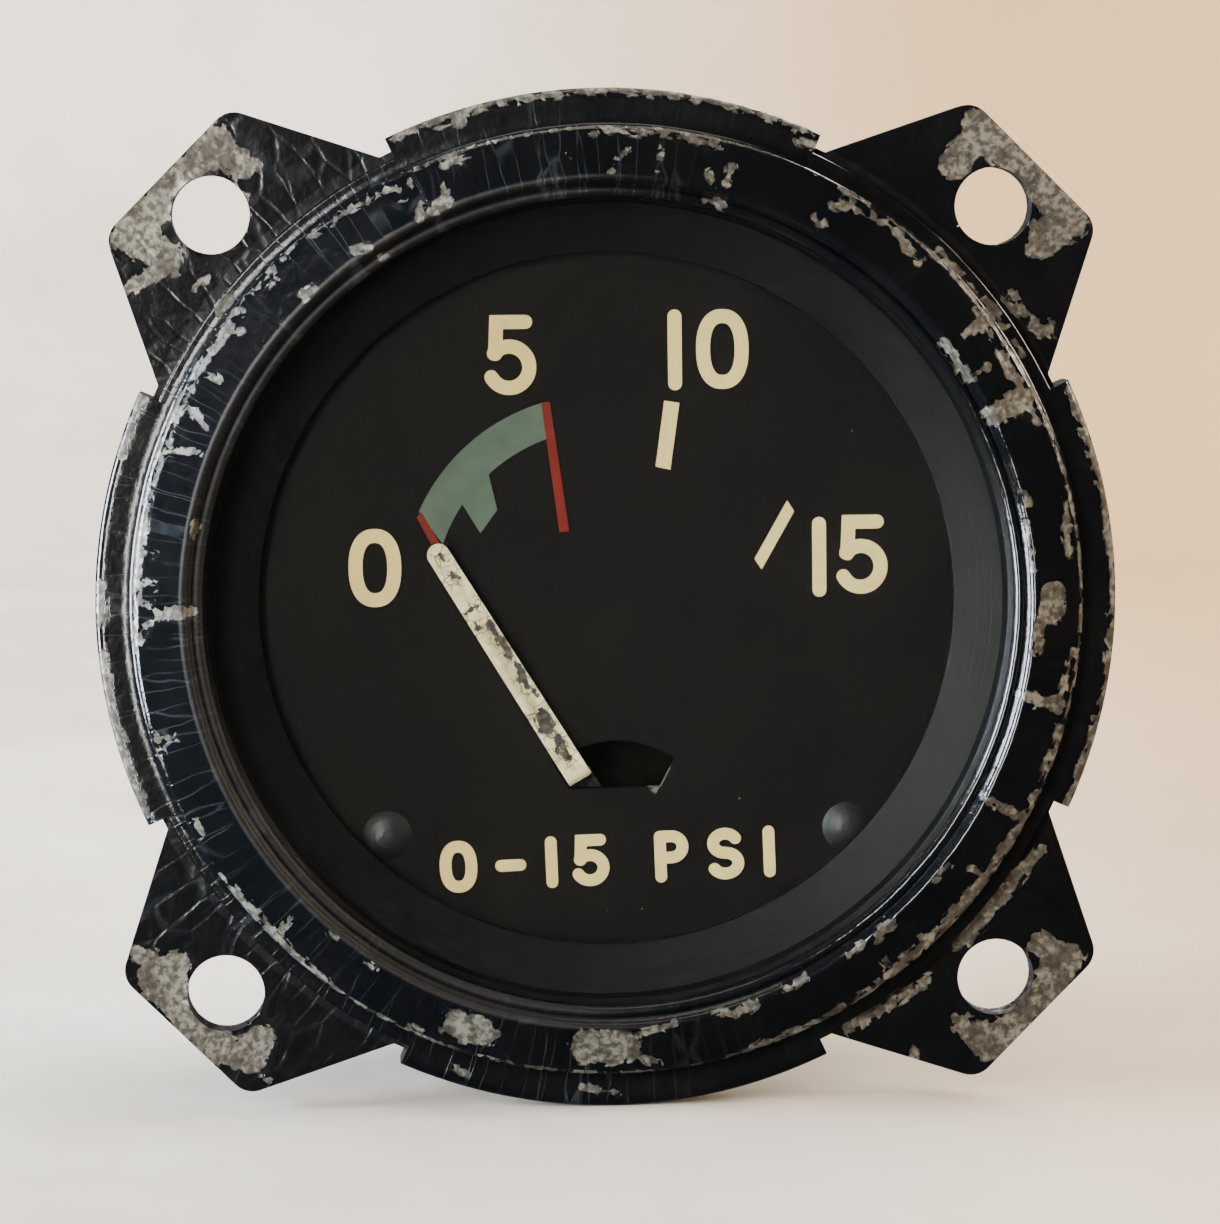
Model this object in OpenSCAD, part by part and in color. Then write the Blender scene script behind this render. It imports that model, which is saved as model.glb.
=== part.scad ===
// Panel instrument for aircraft fuel pressure, with a crimped bezel and a direct-drive tube movement.
// Millimetres. X runs to the right and Z up, as seen from the front, and Y runs from the dial to the
// back. The origin is the middle of the four ear holes, on the back face of the ears, which rests on
// the panel. Heights in the bezel's section are counted forward from the front face of the ears.

/* [Mounting flange] */
// Spacing of the four ear holes, across and up
bolt_spacing = 47.15; // [46.6:0.05:47.6]
// Diameter of the ear holes
ear_hole_d = 4.7; // [3.6:0.1:5]
// Distance from the middle to an ear's cut tip, along the diagonal
ear_reach = 37; // [36.6:0.1:38.5]
// Width of an ear's cut tip, before its corners are rounded
ear_tip_w = 10.5; // [9.5:0.1:12]
// Angle between an ear's side and its diagonal
ear_taper = 26.7; // [24:0.1:28]
// Thickness of the flange plate
flange_t = 2; // [1.8:0.1:3]

/* [Bezel] */
// Diameter of the bezel's standing wall
bezel_d = 57.3; // [57.1:0.1:57.6]
// Thickness of the bezel's sheet metal
bezel_t = 0.7; // [0.6:0.05:0.75]
// Height of the bezel's crest above the ears
crest_h = 3.7; // [3.5:0.1:4.5]
// Diameter of the crest
crest_d = 51.2; // [50.9:0.1:51.4]
// Diameter of the opening inside the rolled lip
window_d = 48.8; // [48.4:0.1:49]
// Diameter over the four crimped tabs
crimp_d = 61.8; // [61.7:0.1:62.2]
// Angle that each crimped tab spans
crimp_span = 50; // [40:1:52]

/* [Glass and dial] */
// Thickness of the cover glass
glass_t = 1.3; // [1:0.1:1.3]
// Diameter of the part of the dial that shows inside the cone
cone_in_d = 42.3; // [42.1:0.1:42.7]
// Diameter of the cone's front edge
cone_out_d = 48.1; // [47.6:0.1:48.3]
// Diameter of the dial plate
dial_d = 45.2; // [44:0.1:47]
// Thickness of the dial plate
dial_t = 0.8; // [0.5:0.1:1]
// How far the dial and the movement on it sit to the right in the case
dial_shift = 0.5; // [0:0.1:0.6]
// Radius of the top of the dial's crescent slot, about the pointer's pivot
slot_r = 6; // [5.8:0.05:6.4]
// Height of the slot's straight lower edge above the pivot
slot_low = 3.07; // [2.8:0.01:3.1]

/* [Pointer] */
// Distance of the pivot below the dial's middle
pivot_drop = 14.7; // [14.5:0.1:15]
// Angle of the pointer left of upright, at rest
pointer_rest = 31.4; // [30:0.1:31.6]
// Whole sweep of the pointer
pointer_sweep = 59.3; // [58:0.1:60]
// Distance from the pivot to the pointer's tip
pointer_len = 21.3; // [18:0.1:21.5]
// Width of the pointer at its bend
pointer_w = 1.55; // [1.2:0.05:1.6]

/* [Case] */
// Outer diameter of the case behind the flange
case_d = 55; // [54.6:0.1:55]
// Depth of the case behind the ears
case_depth = 26; // [26:0.5:32]
// Wall thickness of the case
case_t = 0.8; // [0.6:0.1:0.9]
// Diameter of the pressure stub at the back
port_d = 10.2; // [9.8:0.1:10.4]
// Length of the stub's cylindrical part
port_len = 8.4; // [7:0.1:12]

/* [Movement] */
// Radius of the curved tube, at the middle of its wall
tube_r = 21; // [20.5:0.1:21.2]
// Depth of the flattened tube, front to back
tube_deep = 7.2; // [6:0.1:7.4]
// Thickness of the flattened tube, along its radius
tube_thick = 2.4; // [2:0.1:2.6]
// Wall thickness of the tube
tube_wall = 0.3; // [0.25:0.05:0.5]
// Angle, counted from the right, where the tube leaves its socket
tube_root = -44; // [-46:1:-42]
// Angle where the tube enters its tip
tube_end = 215; // [214:1:216]
// Throw of the crank that turns the pointer's staff
crank_r = 1.8; // [1.6:0.1:2]
// Distance between the link's two eyes
link_len = 8; // [7.5:0.1:8.5]
// Direction of the link, counted from the right
link_angle = 158.5; // [156:0.5:160]

/* [Hidden] */
$fn = 96;
// Gap left between pieces that only lie beside each other
slack = 0.05;
// How far the rod that cuts a hole runs past the faces that it opens
past = 1;
// What a clearance hole is wider than the pin, screw or stem in it
clearance = 0.2;

// Places along Y, from the front of the stack to the back
y_ears = -flange_t;
case_lip_t = 0.4;
y_case_lip = y_ears - case_lip_t;
spacer_t = 0.3;
y_spacer = y_case_lip - spacer_t;
gasket_t = 0.3;
y_gasket = y_spacer - gasket_t;
y_glass = y_gasket - glass_t;
y_dial = 0;
y_dial_back = y_dial + dial_t;
y_front_plate = 4;
plate_t = 1.2;
plate_gap = 3.4;
y_back_plate = y_front_plate + plate_t + plate_gap;
y_block = y_back_plate + plate_t;
// Gap between the crank, the link and the tip's arm, which pass one behind the other
side_gap = 0.2;
y_crank = y_block + 0.3;
crank_t = 0.8;
y_link = y_crank + crank_t + side_gap;
link_t = 0.6;
y_tip_arm = y_link + link_t + side_gap;
tip_arm_t = 1;
y_tube = 10.6;
y_case_back = case_depth;
y_case_floor = case_depth - case_t;

// Mounting flange
flange_r = 30.05;
flange_bore_d = case_d + 2 * slack;
ear_root = 22;
ear_corner_r = 1.5;
rebate_deep = 0.8;
rebate_r = 28.8;
// Angle that a rebate is longer than its tab, at each end
rebate_end = 0.5;

// Bezel section: radii and heights above the ears
bezel_r = bezel_d / 2;
base_r = 29.66;
base_low = case_lip_t;
base_high = base_low + bezel_t;
base_edge = 0.2;
base_slope = 0.07;
wall_fillet = 0.3;
shoulder_r = 0.55;
shoulder_h = 2.05;
crest_r = crest_d / 2;
crest_round = 0.35;
bead_r = 0.35;
bead_x = window_d / 2 + bead_r;
// The lip's bead rests on the glass
bead_h = case_lip_t + spacer_t + gasket_t + glass_t + bead_r;
// The sheet's thickness at the crest, where the lip turns back, across and down
lip_t = [0.15, 0.8];
crimp_r = crimp_d / 2;
crimp_wall = 0.75;
crimp_bend = 0.5;
crimp_shoulder = 0.45;
crimp_root_r = base_r - 0.5;
crimp_in_r = 28.9;
crimp_back = -flange_t + slack;

// Glass, gasket and cone
glass_d = 53.6;
glass_edge = 0.2;
gasket_out_d = 54.8;
gasket_in_d = 49.6;
spacer_out_r = 27.5;
cone_y_out = -1.7;
cone_y_in = -1;
cone_t = 0.4;

// Pointer's pivot and the closed positions of the linkage
pivot = [dial_shift, -pivot_drop];
half_sweep = pointer_sweep / 2;
link_dir = [cos(link_angle), sin(link_angle)];
link_side = [-link_dir.y, link_dir.x];
// The link keeps its direction, so its open eye follows the mean of the crank pin's path
eye_throw = crank_r * (1 + cos(half_sweep)) / 2;
tube_half = (tube_end - tube_root) / 2;
tube_mid = (tube_end + tube_root) / 2;
// A tube that uncurls evenly turns its tip about the middle of mass of its own arc
flex_centre = tube_r * sin(tube_half) / (tube_half * PI / 180) * [cos(tube_mid), sin(tube_mid)];
tip_mid = pivot + eye_throw * link_side + link_len * link_dir;
tip_lever = norm(tip_mid - flex_centre);
tip_turn = 2 * crank_r * sin(half_sweep) / tip_lever * 180 / PI;
tip_at = flex_centre + turned(tip_mid - flex_centre, tip_turn / 2);
eye_at = tip_at - link_len * link_dir;
crank_pin_at = pivot + crank_r * turned(link_side, half_sweep);
pin_d = 1;
open_eye_d = pin_d + 0.4;
tip_eye_d = pin_d + 0.1;
// Outer radii of the link's open eye and of its eye at the tip
open_eye_r = 1.35;
tip_eye_r = 1.25;
link_w = 1.6;
crank_w = 2;
crank_boss_r = 1.6;

// Movement frame, whose outlines and pillars shift with the dial
block_screw_at = [[-3.4, 0], [3.4, 0]];
pillar_at = shifted([[-7, 4.6], [7, 4.6], [-7.2, -7], [6.6, -12.4]]);
dial_screw_at = shifted([[-14.1, -14.3], [14.1, -14.3]]);
front_outline = shifted([[-16.4, -16.8], [16.4, -16.8], [16.4, -12], [9, 7.2], [-9, 7.2], [-16.4, -12]]);
back_outline = shifted([[-4.6, -17.6], [4.6, -17.6], [9.2, -12.6], [9, 7], [-9, 7], [-9.2, -12.6]]);
plate_corner_r = 2;
pillar_d = 3.4;
frame_screw_d = 1.6;
frame_head_d = 3.2;
frame_screw_grip = 1.5;
head_t = 0.9;
head_slot = [0.4, 0.35];
block_screw_d = 2;
block_head_d = 3.6;
block_screw_grip = 3.5;
// Hole in the front plate through which a block screw is driven
driver_hole_d = 4.2;
dial_shank_d = 1.8;
y_shank_end = y_front_plate - 0.8;
post_d = 4;
post_stud_d = 2.2;
bush_d = 3;
bush_flange_d = 4;
bush_flange_t = 0.3;
journal_d = 1.4;
staff_d = 2.2;
rear_journal_d = 1;
staff_end_play = 0.15;
y_staff_front = 1.2;
run_gap = 0.1;
// Hub: a narrow front end that the pointer's eye is pressed on, and a wider body
hub_spigot_d = 2;
hub_d = 3.2;
y_hub = [1.3, 1.9, 3.3];

// Socket and stem
tube_insert = 7;
tip_insert = 3;
block_d = 11;
block_collar_d = 14;
arm_w = 8;
y_arm = 16;
y_arm_back = 22;
stem_d = 11;
relief_d = 9.2;
relief_len = 0.8;
bore_d = 3;
pressure_way_d = 1.6;
nut_af = 16;
nut_t = 3;
nut_chamfer = 1.1;
washer_d = 18;
washer_t = 0.8;
seal_d = 14;
seal_t = 0.6;
y_port = y_case_back + washer_t + nut_t + 1.4;
port_chamfer = 0.8;
y_stub_end = y_port + port_len + port_chamfer;

// Points moved to the right with the dial
function shifted(pts) = [for (p = pts) p + [dial_shift, 0]];

// A vector turned anticlockwise by an angle
function turned(v, a) = [v.x * cos(a) - v.y * sin(a), v.x * sin(a) + v.y * cos(a)];

// Points of an arc from angle a to angle b
function arc(c, r, a, b, n = 8) =
    [for (i = [0:n]) let (t = a + (b - a) * i / n) c + r * [cos(t), sin(t)]];

// A section drawn as [radius, y], turned about the Y axis
module revolve(from = 0, span = 360) {
    rotate([90, 0, 0]) rotate([0, 0, from]) rotate_extrude(angle = span) mirror([0, 1]) children();
}

// A section drawn as [radius, height above the ears], turned about the Y axis
module revolve_up(from = 0, span = 360) {
    translate([0, y_ears, 0])
        rotate([90, 0, 0]) rotate([0, 0, from]) rotate_extrude(angle = span) children();
}

// A flat outline in X and Z, made solid from y0 to y1
module slab(y0, y1) {
    translate([0, y1, 0]) rotate([90, 0, 0]) linear_extrude(y1 - y0) children();
}

// A round rod along Y
module rod(d, y0, y1, at = [0, 0]) {
    translate([at.x, y0, at.y]) rotate([-90, 0, 0]) cylinder(d = d, h = y1 - y0);
}

// A rod that cuts a hole right through what lies from y0 to y1
module hole(d, y0, y1, at = [0, 0]) {
    rod(d, y0 - past, y1 + past, at);
}

// A flat bar with round ends between two points
module bar(p, q, w) {
    n = (q - p) / norm(q - p) * w / 2;
    s = [-n.y, n.x];
    polygon([p + s, p - s, q - s, q + s]);
    translate(p) circle(d = w);
    translate(q) circle(d = w);
}

// A convex outline, listed anticlockwise, with rounded corners
module rounded(pts, r) {
    n = len(pts);
    into = [for (i = [0:n - 1]) (pts[i] - pts[(i + n - 1) % n]) / norm(pts[i] - pts[(i + n - 1) % n])];
    out = [for (i = [0:n - 1]) into[(i + 1) % n]];
    bend = [for (i = [0:n - 1]) acos(into[i] * out[i])];
    cut = [for (i = [0:n - 1]) r * tan(bend[i] / 2)];
    polygon([for (i = [0:n - 1]) each [pts[i] - cut[i] * into[i], pts[i] + cut[i] * out[i]]]);
    for (i = [0:n - 1])
        translate(pts[i] - cut[i] * into[i] + r * [-into[i].y, into[i].x]) circle(r);
}

// A stadium, long side up, for the flattened tube's section
module stadium(thick, deep) {
    square([thick, deep - thick], center = true);
    for (s = [-1, 1]) translate([0, s * (deep - thick) / 2]) circle(d = thick);
}

// One ear that points to the right: it tapers out to a cut tip with two rounded corners
module ear_outline() {
    half = ear_tip_w / 2;
    wide = half + (ear_reach - ear_root) * tan(ear_taper);
    rounded([[ear_root, -wide], [ear_reach, -half], [ear_reach, half], [ear_root, wide]], ear_corner_r);
}

// Round plate with four ears, bored to slide over the case
module mounting_flange() {
    color("#1b2027") difference() {
        union() {
            slab(y_ears, 0) circle(flange_r);
            for (a = [45:90:315]) slab(y_ears, 0) rotate(a) ear_outline();
        }
        hole(flange_bore_d, y_ears, 0);
        for (x = [-1, 1], z = [-1, 1])
            hole(ear_hole_d, y_ears, 0, [x, z] * bolt_spacing / 2);
        // Rebates at the back of the rim, where the crimped tabs fold over it
        for (a = [0:90:270])
            revolve(a - crimp_span / 2 - rebate_end, crimp_span + 2 * rebate_end)
                translate([rebate_r, -rebate_deep])
                    square([flange_r - rebate_r + past, rebate_deep + past]);
    }
}

// Section of the pressed ring: base, standing wall, sloped face, crest, and lip rolled in on the glass
function bezel_section() =
    let (
        fall = (crest_h - shoulder_h - shoulder_r) / (bezel_r - shoulder_r - crest_r),
        tilt = atan(fall),
        outer = [bezel_r - shoulder_r, shoulder_h],
        crest = [crest_r, crest_h - crest_round],
        bead = [bead_x, bead_h],
        under = bezel_t / cos(tilt),
        face_at = outer + shoulder_r * [sin(tilt), cos(tilt)],
        inner_r = bezel_r - bezel_t,
        face_low = face_at.y - under + (face_at.x - inner_r) * tan(tilt)
    )
    concat(
        [[inner_r, base_low], [base_r, base_low]],
        arc([base_r, base_high] - base_edge * [1, 1], base_edge, 0, 80, 4),
        [[bezel_r + wall_fillet, base_high + base_slope]],
        arc([bezel_r + wall_fillet, base_high + base_slope + wall_fillet], wall_fillet, 250, 180, 4),
        arc(outer, shoulder_r, 0, 90 - tilt, 8),
        arc(crest, crest_round, 90 - tilt, 200, 8),
        arc(bead, bead_r, 40, 270, 12),
        [
            [bead_x + bead_r, bead_h - bead_r],
            [crest_r, crest_h] - lip_t,
            [inner_r - 0.2, face_low + 0.2 * tan(tilt)],
            [inner_r, face_low - 0.15]
        ]
    );

// Section of a tab: out over the flange's rim, back along it, and in behind it
function crimp_section() = concat(
    [
        [crimp_root_r, base_low], [crimp_r - crimp_wall, base_low],
        [crimp_r - crimp_wall, crimp_back + bezel_t],
        [crimp_in_r, crimp_back + bezel_t], [crimp_in_r, crimp_back]
    ],
    arc([crimp_r - crimp_bend, crimp_back + crimp_bend], crimp_bend, 270, 360, 5),
    arc([crimp_r - crimp_shoulder, base_high - crimp_shoulder], crimp_shoulder, 0, 90, 5),
    [[crimp_root_r, base_high]]
);

// Pressed ring with its four tabs crimped over the flange, which holds the whole front together
module bezel_ring() {
    color("#14171d") {
        revolve_up() polygon(bezel_section());
        for (a = [0:90:270])
            revolve_up(a - crimp_span / 2, crimp_span) polygon(crimp_section());
    }
}

// Flat disc with ground edges
module cover_glass() {
    r = glass_d / 2;
    color([0.8, 0.88, 0.9], 0.3) revolve() polygon([
        [0, y_glass], [r - glass_edge, y_glass], [r, y_glass + glass_edge],
        [r, y_gasket - glass_edge], [r - glass_edge, y_gasket], [0, y_gasket]
    ]);
}

module ring_along_y(outer_d, inner_d, y0, y1) {
    difference() {
        rod(outer_d, y0, y1);
        hole(inner_d, y0, y1);
    }
}

module glass_gasket() {
    color("#22201e") ring_along_y(gasket_out_d, gasket_in_d, y_gasket, y_spacer);
}

// Spun ring with a flange under the glass and a cone that runs down to the dial
module spacer_ring() {
    out_r = cone_out_d / 2;
    in_r = cone_in_d / 2;
    color("#24272b") revolve() polygon([
        [spacer_out_r, y_case_lip], [spacer_out_r, y_spacer],
        [out_r + 0.5, y_spacer], [out_r + 0.2, y_spacer + 0.25],
        [out_r, cone_y_out], [in_r, cone_y_in],
        [in_r, cone_y_in + cone_t], [out_r + 0.3, cone_y_out + cone_t],
        [out_r + cone_t + 0.2, cone_y_out], [out_r + cone_t + 0.4, y_case_lip]
    ]);
}

// Low and high corner of the slot's end on one side (-1 or 1), parallel to the pointer at its stop there
function slot_end(side, stop) =
    let (
        gap = 0.93,
        base = gap * [cos(stop), -sin(stop)],
        along = [sin(stop), cos(stop)],
        low = base + (slot_low - base.y) / cos(stop) * along,
        high = base + (slot_r + 3) * along
    )
    [for (q = [low, high]) pivot + [side * q.x, q.y]];

// Crescent opening, wide at the top
module slot_outline() {
    left = slot_end(-1, pointer_rest);
    right = slot_end(1, pointer_sweep - pointer_rest);
    intersection() {
        translate(pivot) circle(slot_r);
        polygon([left[0], right[0], right[1], left[1]]);
    }
}

// Disc with the pointer's slot and two screw holes
module dial_plate() {
    color("#1a1815") difference() {
        rod(dial_d, y_dial, y_dial_back, [dial_shift, 0]);
        slab(y_dial - past, y_dial_back + past) slot_outline();
        for (p = dial_screw_at) hole(dial_shank_d + clearance, y_dial, y_dial_back, p);
    }
}

// Domed heads hold the dial to its posts
module dial_screws() {
    head_r = 1.5;
    dome_h = 0.55;
    ball_r = (head_r * head_r + dome_h * dome_h) / (2 * dome_h);
    ball_y = y_dial - dome_h + ball_r;
    rim = [for (t = [15:15:90]) head_r * cos(t)];
    color("#111214") for (p = dial_screw_at) translate([p.x, 0, p.y]) {
        revolve() polygon(concat(
            [[0, y_dial], [head_r, y_dial]],
            [for (r = rim) [r, ball_y - sqrt(ball_r ^ 2 - r ^ 2)]]
        ));
        rod(dial_shank_d, y_dial, y_shank_end);
    }
}

// Posts riveted to the front plate by their studs, tapped for the dial's screws
module dial_posts() {
    color("#b08d4c") for (p = dial_screw_at) difference() {
        union() {
            rod(post_d, y_dial_back, y_front_plate, p);
            rod(post_stud_d, y_front_plate, y_front_plate + plate_t, p);
        }
        rod(dial_shank_d, y_dial_back - past, y_shank_end, p);
    }
}

// Strip that lies before the dial, bends back through the slot and ends in an eye on the hub
module pointer() {
    strip_t = 0.3;
    front = y_dial - 0.9;
    foot = 1.6;
    bend_in = 4.25;
    outer_bend = 0.5;
    inner_bend = outer_bend - strip_t;
    eye_r = 1.7;
    tip_w = 1.38;
    bend_out = bend_in + strip_t;
    tip_at = pointer_len - tip_w / 2;
    tail = 3;
    color("#e6dcc4") translate([pivot.x, 0, pivot.y]) rotate([0, -pointer_rest, 0])
        difference() {
            intersection() {
                slab(front - past, foot + past) {
                    polygon([
                        [-pointer_w / 2, 0], [pointer_w / 2, 0],
                        [pointer_w / 2, bend_out], [tip_w / 2, tip_at],
                        [-tip_w / 2, tip_at], [-pointer_w / 2, bend_out]
                    ]);
                    translate([0, tip_at]) circle(d = tip_w);
                    circle(eye_r);
                }
                // Side view of the bent strip, as [y, height], with its four bends rounded
                rotate([90, 0, 90]) linear_extrude(2 * tail, center = true) polygon(concat(
                    [[front, pointer_len + past]],
                    arc([front + outer_bend, bend_in + outer_bend], outer_bend, 180, 270, 4),
                    arc([foot - inner_bend, bend_in - inner_bend], inner_bend, 90, 0, 3),
                    [[foot, -tail], [foot + strip_t, -tail]],
                    arc([foot + strip_t - outer_bend, bend_out - outer_bend], outer_bend, 0, 90, 4),
                    arc([front + strip_t + inner_bend, bend_out + inner_bend], inner_bend, 270, 180, 3),
                    [[front + strip_t, pointer_len + past]]
                ));
            }
            hole(hub_spigot_d, foot, foot + strip_t);
        }
}

// Turned hub, pressed on the front end of the staff
module pointer_hub() {
    color("#b08d4c") difference() {
        union() {
            rod(hub_spigot_d, y_hub[0], y_hub[1], pivot);
            rod(hub_d, y_hub[1], y_hub[2], pivot);
        }
        hole(journal_d, y_hub[0], y_hub[2], pivot);
    }
}

// Staff that turns in both plates: front journal, body and thinner rear journal
module pointer_staff() {
    front = y_front_plate + plate_t + staff_end_play;
    rear = y_back_plate - staff_end_play;
    color("#c9ccd0") {
        rod(journal_d, y_staff_front, front, pivot);
        rod(staff_d, front, rear, pivot);
        rod(rear_journal_d, rear, y_crank + crank_t, pivot);
    }
}

// Short lever on the rear end of the staff
module crank() {
    color("#b08d4c") difference() {
        slab(y_crank, y_crank + crank_t) {
            translate(pivot) circle(crank_boss_r);
            bar(pivot, crank_pin_at, crank_w);
        }
        hole(rear_journal_d, y_crank, y_crank + crank_t, pivot);
        hole(pin_d, y_crank, y_crank + crank_t, crank_pin_at);
    }
}

// Pin riveted in the crank, which the link's open eye goes round
module crank_pin() {
    over = 0.4;
    color("#c9ccd0") rod(pin_d, y_crank, y_tip_arm + over, crank_pin_at);
}

// Strip with a close eye on the tube's tip and an open eye round the crank pin
module link() {
    color("#c8a860") difference() {
        slab(y_link, y_link + link_t) {
            bar(eye_at, tip_at, link_w);
            translate(eye_at) circle(open_eye_r);
            translate(tip_at) circle(tip_eye_r);
        }
        hole(open_eye_d, y_link, y_link + link_t, eye_at);
        hole(tip_eye_d, y_link, y_link + link_t, tip_at);
    }
}

// Headed pin riveted in the tip's arm, on which the link turns
module tip_pin() {
    head_d = 1.8;
    head_h = 0.3;
    y_head = y_link - 0.15;
    color("#c9ccd0") {
        rod(pin_d, y_head, y_tip_arm + tip_arm_t, tip_at);
        rod(head_d, y_head - head_h, y_head, tip_at);
    }
}

// Cap soldered over the tube's end, with a flat arm that reaches in to the link
module tube_tip() {
    cap_span = 9;
    cap_wall = 0.6;
    cap_mid = tube_end + cap_span / 2;
    arm_root = (tube_r - 1.4) * [cos(cap_mid), sin(cap_mid)];
    arm_wide = 2.6;
    // Angle that the socket is cut beyond the cap's open end
    mouth = 1;
    color("#b08d4c") difference() {
        union() {
            revolve(tube_end, cap_span) translate([tube_r, y_tube])
                square([tube_thick, tube_deep] + 2 * cap_wall * [1, 1], center = true);
            slab(y_tip_arm, y_tip_arm + tip_arm_t) bar(arm_root, tip_at, arm_wide);
        }
        revolve(tube_end - mouth, tip_insert + mouth)
            translate([tube_r, y_tube]) stadium(tube_thick, tube_deep);
        hole(pin_d, y_tip_arm, y_tip_arm + tip_arm_t, tip_at);
    }
}

// Flattened tube that uncurls as the pressure in it rises
module bourdon_tube() {
    span = tube_insert + tube_end - tube_root + tip_insert;
    color("#c9a24a") revolve(tube_root - tube_insert, span)
        translate([tube_r, y_tube]) difference() {
            stadium(tube_thick, tube_deep);
            stadium(tube_thick - 2 * tube_wall, tube_deep - 2 * tube_wall);
        }
}

// Turned body with the stem, the arm and the post that the tube is soldered into
module socket_block() {
    post_mid = tube_root - asin(arm_w / 2 / tube_r);
    post_half = tube_thick / 2 + 1.6;
    post_front = y_tube - tube_deep / 2 - 0.8;
    y_shoulder = y_case_floor - seal_t;
    y_way = (y_arm + y_arm_back) / 2;
    color("#a98545") difference() {
        union() {
            rod(block_d, y_block, y_arm);
            rod(block_collar_d, y_arm, y_shoulder);
            rotate([0, -post_mid, 0]) {
                translate([0, y_arm, -arm_w / 2]) cube([tube_r + post_half, y_arm_back - y_arm, arm_w]);
                translate([tube_r - post_half, post_front, -arm_w / 2])
                    cube([2 * post_half, y_arm_back - post_front, arm_w]);
            }
            rod(stem_d, y_shoulder, y_port - relief_len);
            rod(relief_d, y_port - relief_len, y_port);
            revolve() polygon([
                [0, y_port], [port_d / 2, y_port], [port_d / 2, y_port + port_len],
                [port_d / 2 - port_chamfer, y_stub_end], [0, y_stub_end]
            ]);
        }
        // Pressure way: up the stem, out along the arm and forward into the tube's socket
        rod(bore_d, y_arm + 2, y_stub_end + past);
        rotate([0, -post_mid, 0]) translate([0, y_way, 0]) rotate([0, 90, 0])
            cylinder(d = pressure_way_d, h = tube_r);
        rotate([0, -post_mid, 0]) translate([tube_r, y_tube, 0]) rotate([-90, 0, 0])
            cylinder(d = pressure_way_d, h = y_way - y_tube);
        revolve(tube_root - tube_insert, tube_insert + 2)
            translate([tube_r, y_tube]) stadium(tube_thick, tube_deep);
        for (p = block_screw_at)
            rod(block_screw_d, y_block - past, y_back_plate + plate_t + block_screw_grip + 0.5, p);
    }
}

// Slotted plug with a fine hole, which damps the pulses of the pump
module restrictor_screw() {
    long = 3;
    slot_w = 0.6;
    slot_deep = 0.8;
    damping_hole_d = 0.7;
    y0 = y_stub_end - 4.5;
    color("#8d7340") difference() {
        rod(bore_d, y0, y0 + long);
        hole(damping_hole_d, y0, y0 + long);
        translate([-bore_d, y0 + long - slot_deep, -slot_w / 2])
            cube([2 * bore_d, slot_deep + past, slot_w]);
    }
}

// Plate with the holes that both movement plates share
module movement_plate(y0, outline) {
    difference() {
        slab(y0, y0 + plate_t) rounded(outline, plate_corner_r);
        hole(bush_d, y0, y0 + plate_t, pivot);
        for (p = pillar_at) hole(frame_screw_d, y0, y0 + plate_t, p);
        children();
    }
}

module front_plate() {
    y1 = y_front_plate + plate_t;
    color("#2b2620") movement_plate(y_front_plate, front_outline) {
        for (p = dial_screw_at) hole(post_stud_d, y_front_plate, y1, p);
        for (p = block_screw_at) hole(driver_hole_d, y_front_plate, y1, p);
    }
}

module back_plate() {
    color("#9a7d45") movement_plate(y_back_plate, back_outline)
        for (p = block_screw_at) hole(block_screw_d, y_back_plate, y_back_plate + plate_t, p);
}

// Spacers between the plates, tapped at both ends
module frame_pillars() {
    y0 = y_front_plate + plate_t;
    color("#b08d4c") for (p = pillar_at) difference() {
        rod(pillar_d, y0, y_back_plate, p);
        hole(frame_screw_d, y0, y_back_plate, p);
    }
}

// Cheese-head screw along Y, with its slot, whose head lies before y0 (side -1) or behind it (side 1)
module cheese_screw(at, y0, d, head_d, long, side) {
    translate([at.x, y0, at.y]) scale([1, side, 1]) difference() {
        union() {
            rod(head_d, 0, head_t);
            rod(d, -long, 0);
        }
        translate([-head_d, head_t - head_slot[1], -head_slot[0] / 2])
            cube([2 * head_d, head_slot[1] + past, head_slot[0]]);
    }
}

module frame_screws() {
    long = plate_t + frame_screw_grip;
    color("#8a8d92") for (p = pillar_at) {
        cheese_screw(p, y_front_plate, frame_screw_d, frame_head_d, long, -1);
        cheese_screw(p, y_back_plate + plate_t, frame_screw_d, frame_head_d, long, 1);
    }
}

// Screws that hold the movement's frame on the socket
module block_screws() {
    color("#8a8d92") for (p = block_screw_at)
        cheese_screw(p, y_back_plate, block_screw_d, block_head_d, plate_t + block_screw_grip, -1);
}

// Flanged bushes pressed into the two plates, bored to run on the staff
module pivot_bushes() {
    y1 = y_front_plate + plate_t;
    color("#c8a860") {
        difference() {
            union() {
                rod(bush_d, y_front_plate, y1, pivot);
                rod(bush_flange_d, y_front_plate - bush_flange_t, y_front_plate, pivot);
            }
            hole(journal_d + run_gap, y_front_plate, y1, pivot);
        }
        difference() {
            rod(bush_d, y_back_plate, y_back_plate + plate_t, pivot);
            hole(rear_journal_d + run_gap, y_back_plate, y_back_plate + plate_t, pivot);
        }
    }
}

// Drawn cup with a lip that the bezel clamps to the front of the flange
module case_cup() {
    r = case_d / 2;
    lip_r = 29.2;
    round_r = 3;
    in_r = r - case_t;
    color("#171a1f") difference() {
        revolve() polygon(concat(
            [[0, y_case_floor]],
            arc([in_r - round_r + case_t, y_case_floor - round_r + case_t], round_r - case_t, 90, 0, 6),
            [[in_r, y_case_lip], [lip_r, y_case_lip], [lip_r, y_ears], [r, y_ears]],
            arc([r - round_r, y_case_back - round_r], round_r, 0, 90, 8),
            [[0, y_case_back]]
        ));
        hole(stem_d + clearance, y_case_floor, y_case_back);
    }
}

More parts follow.
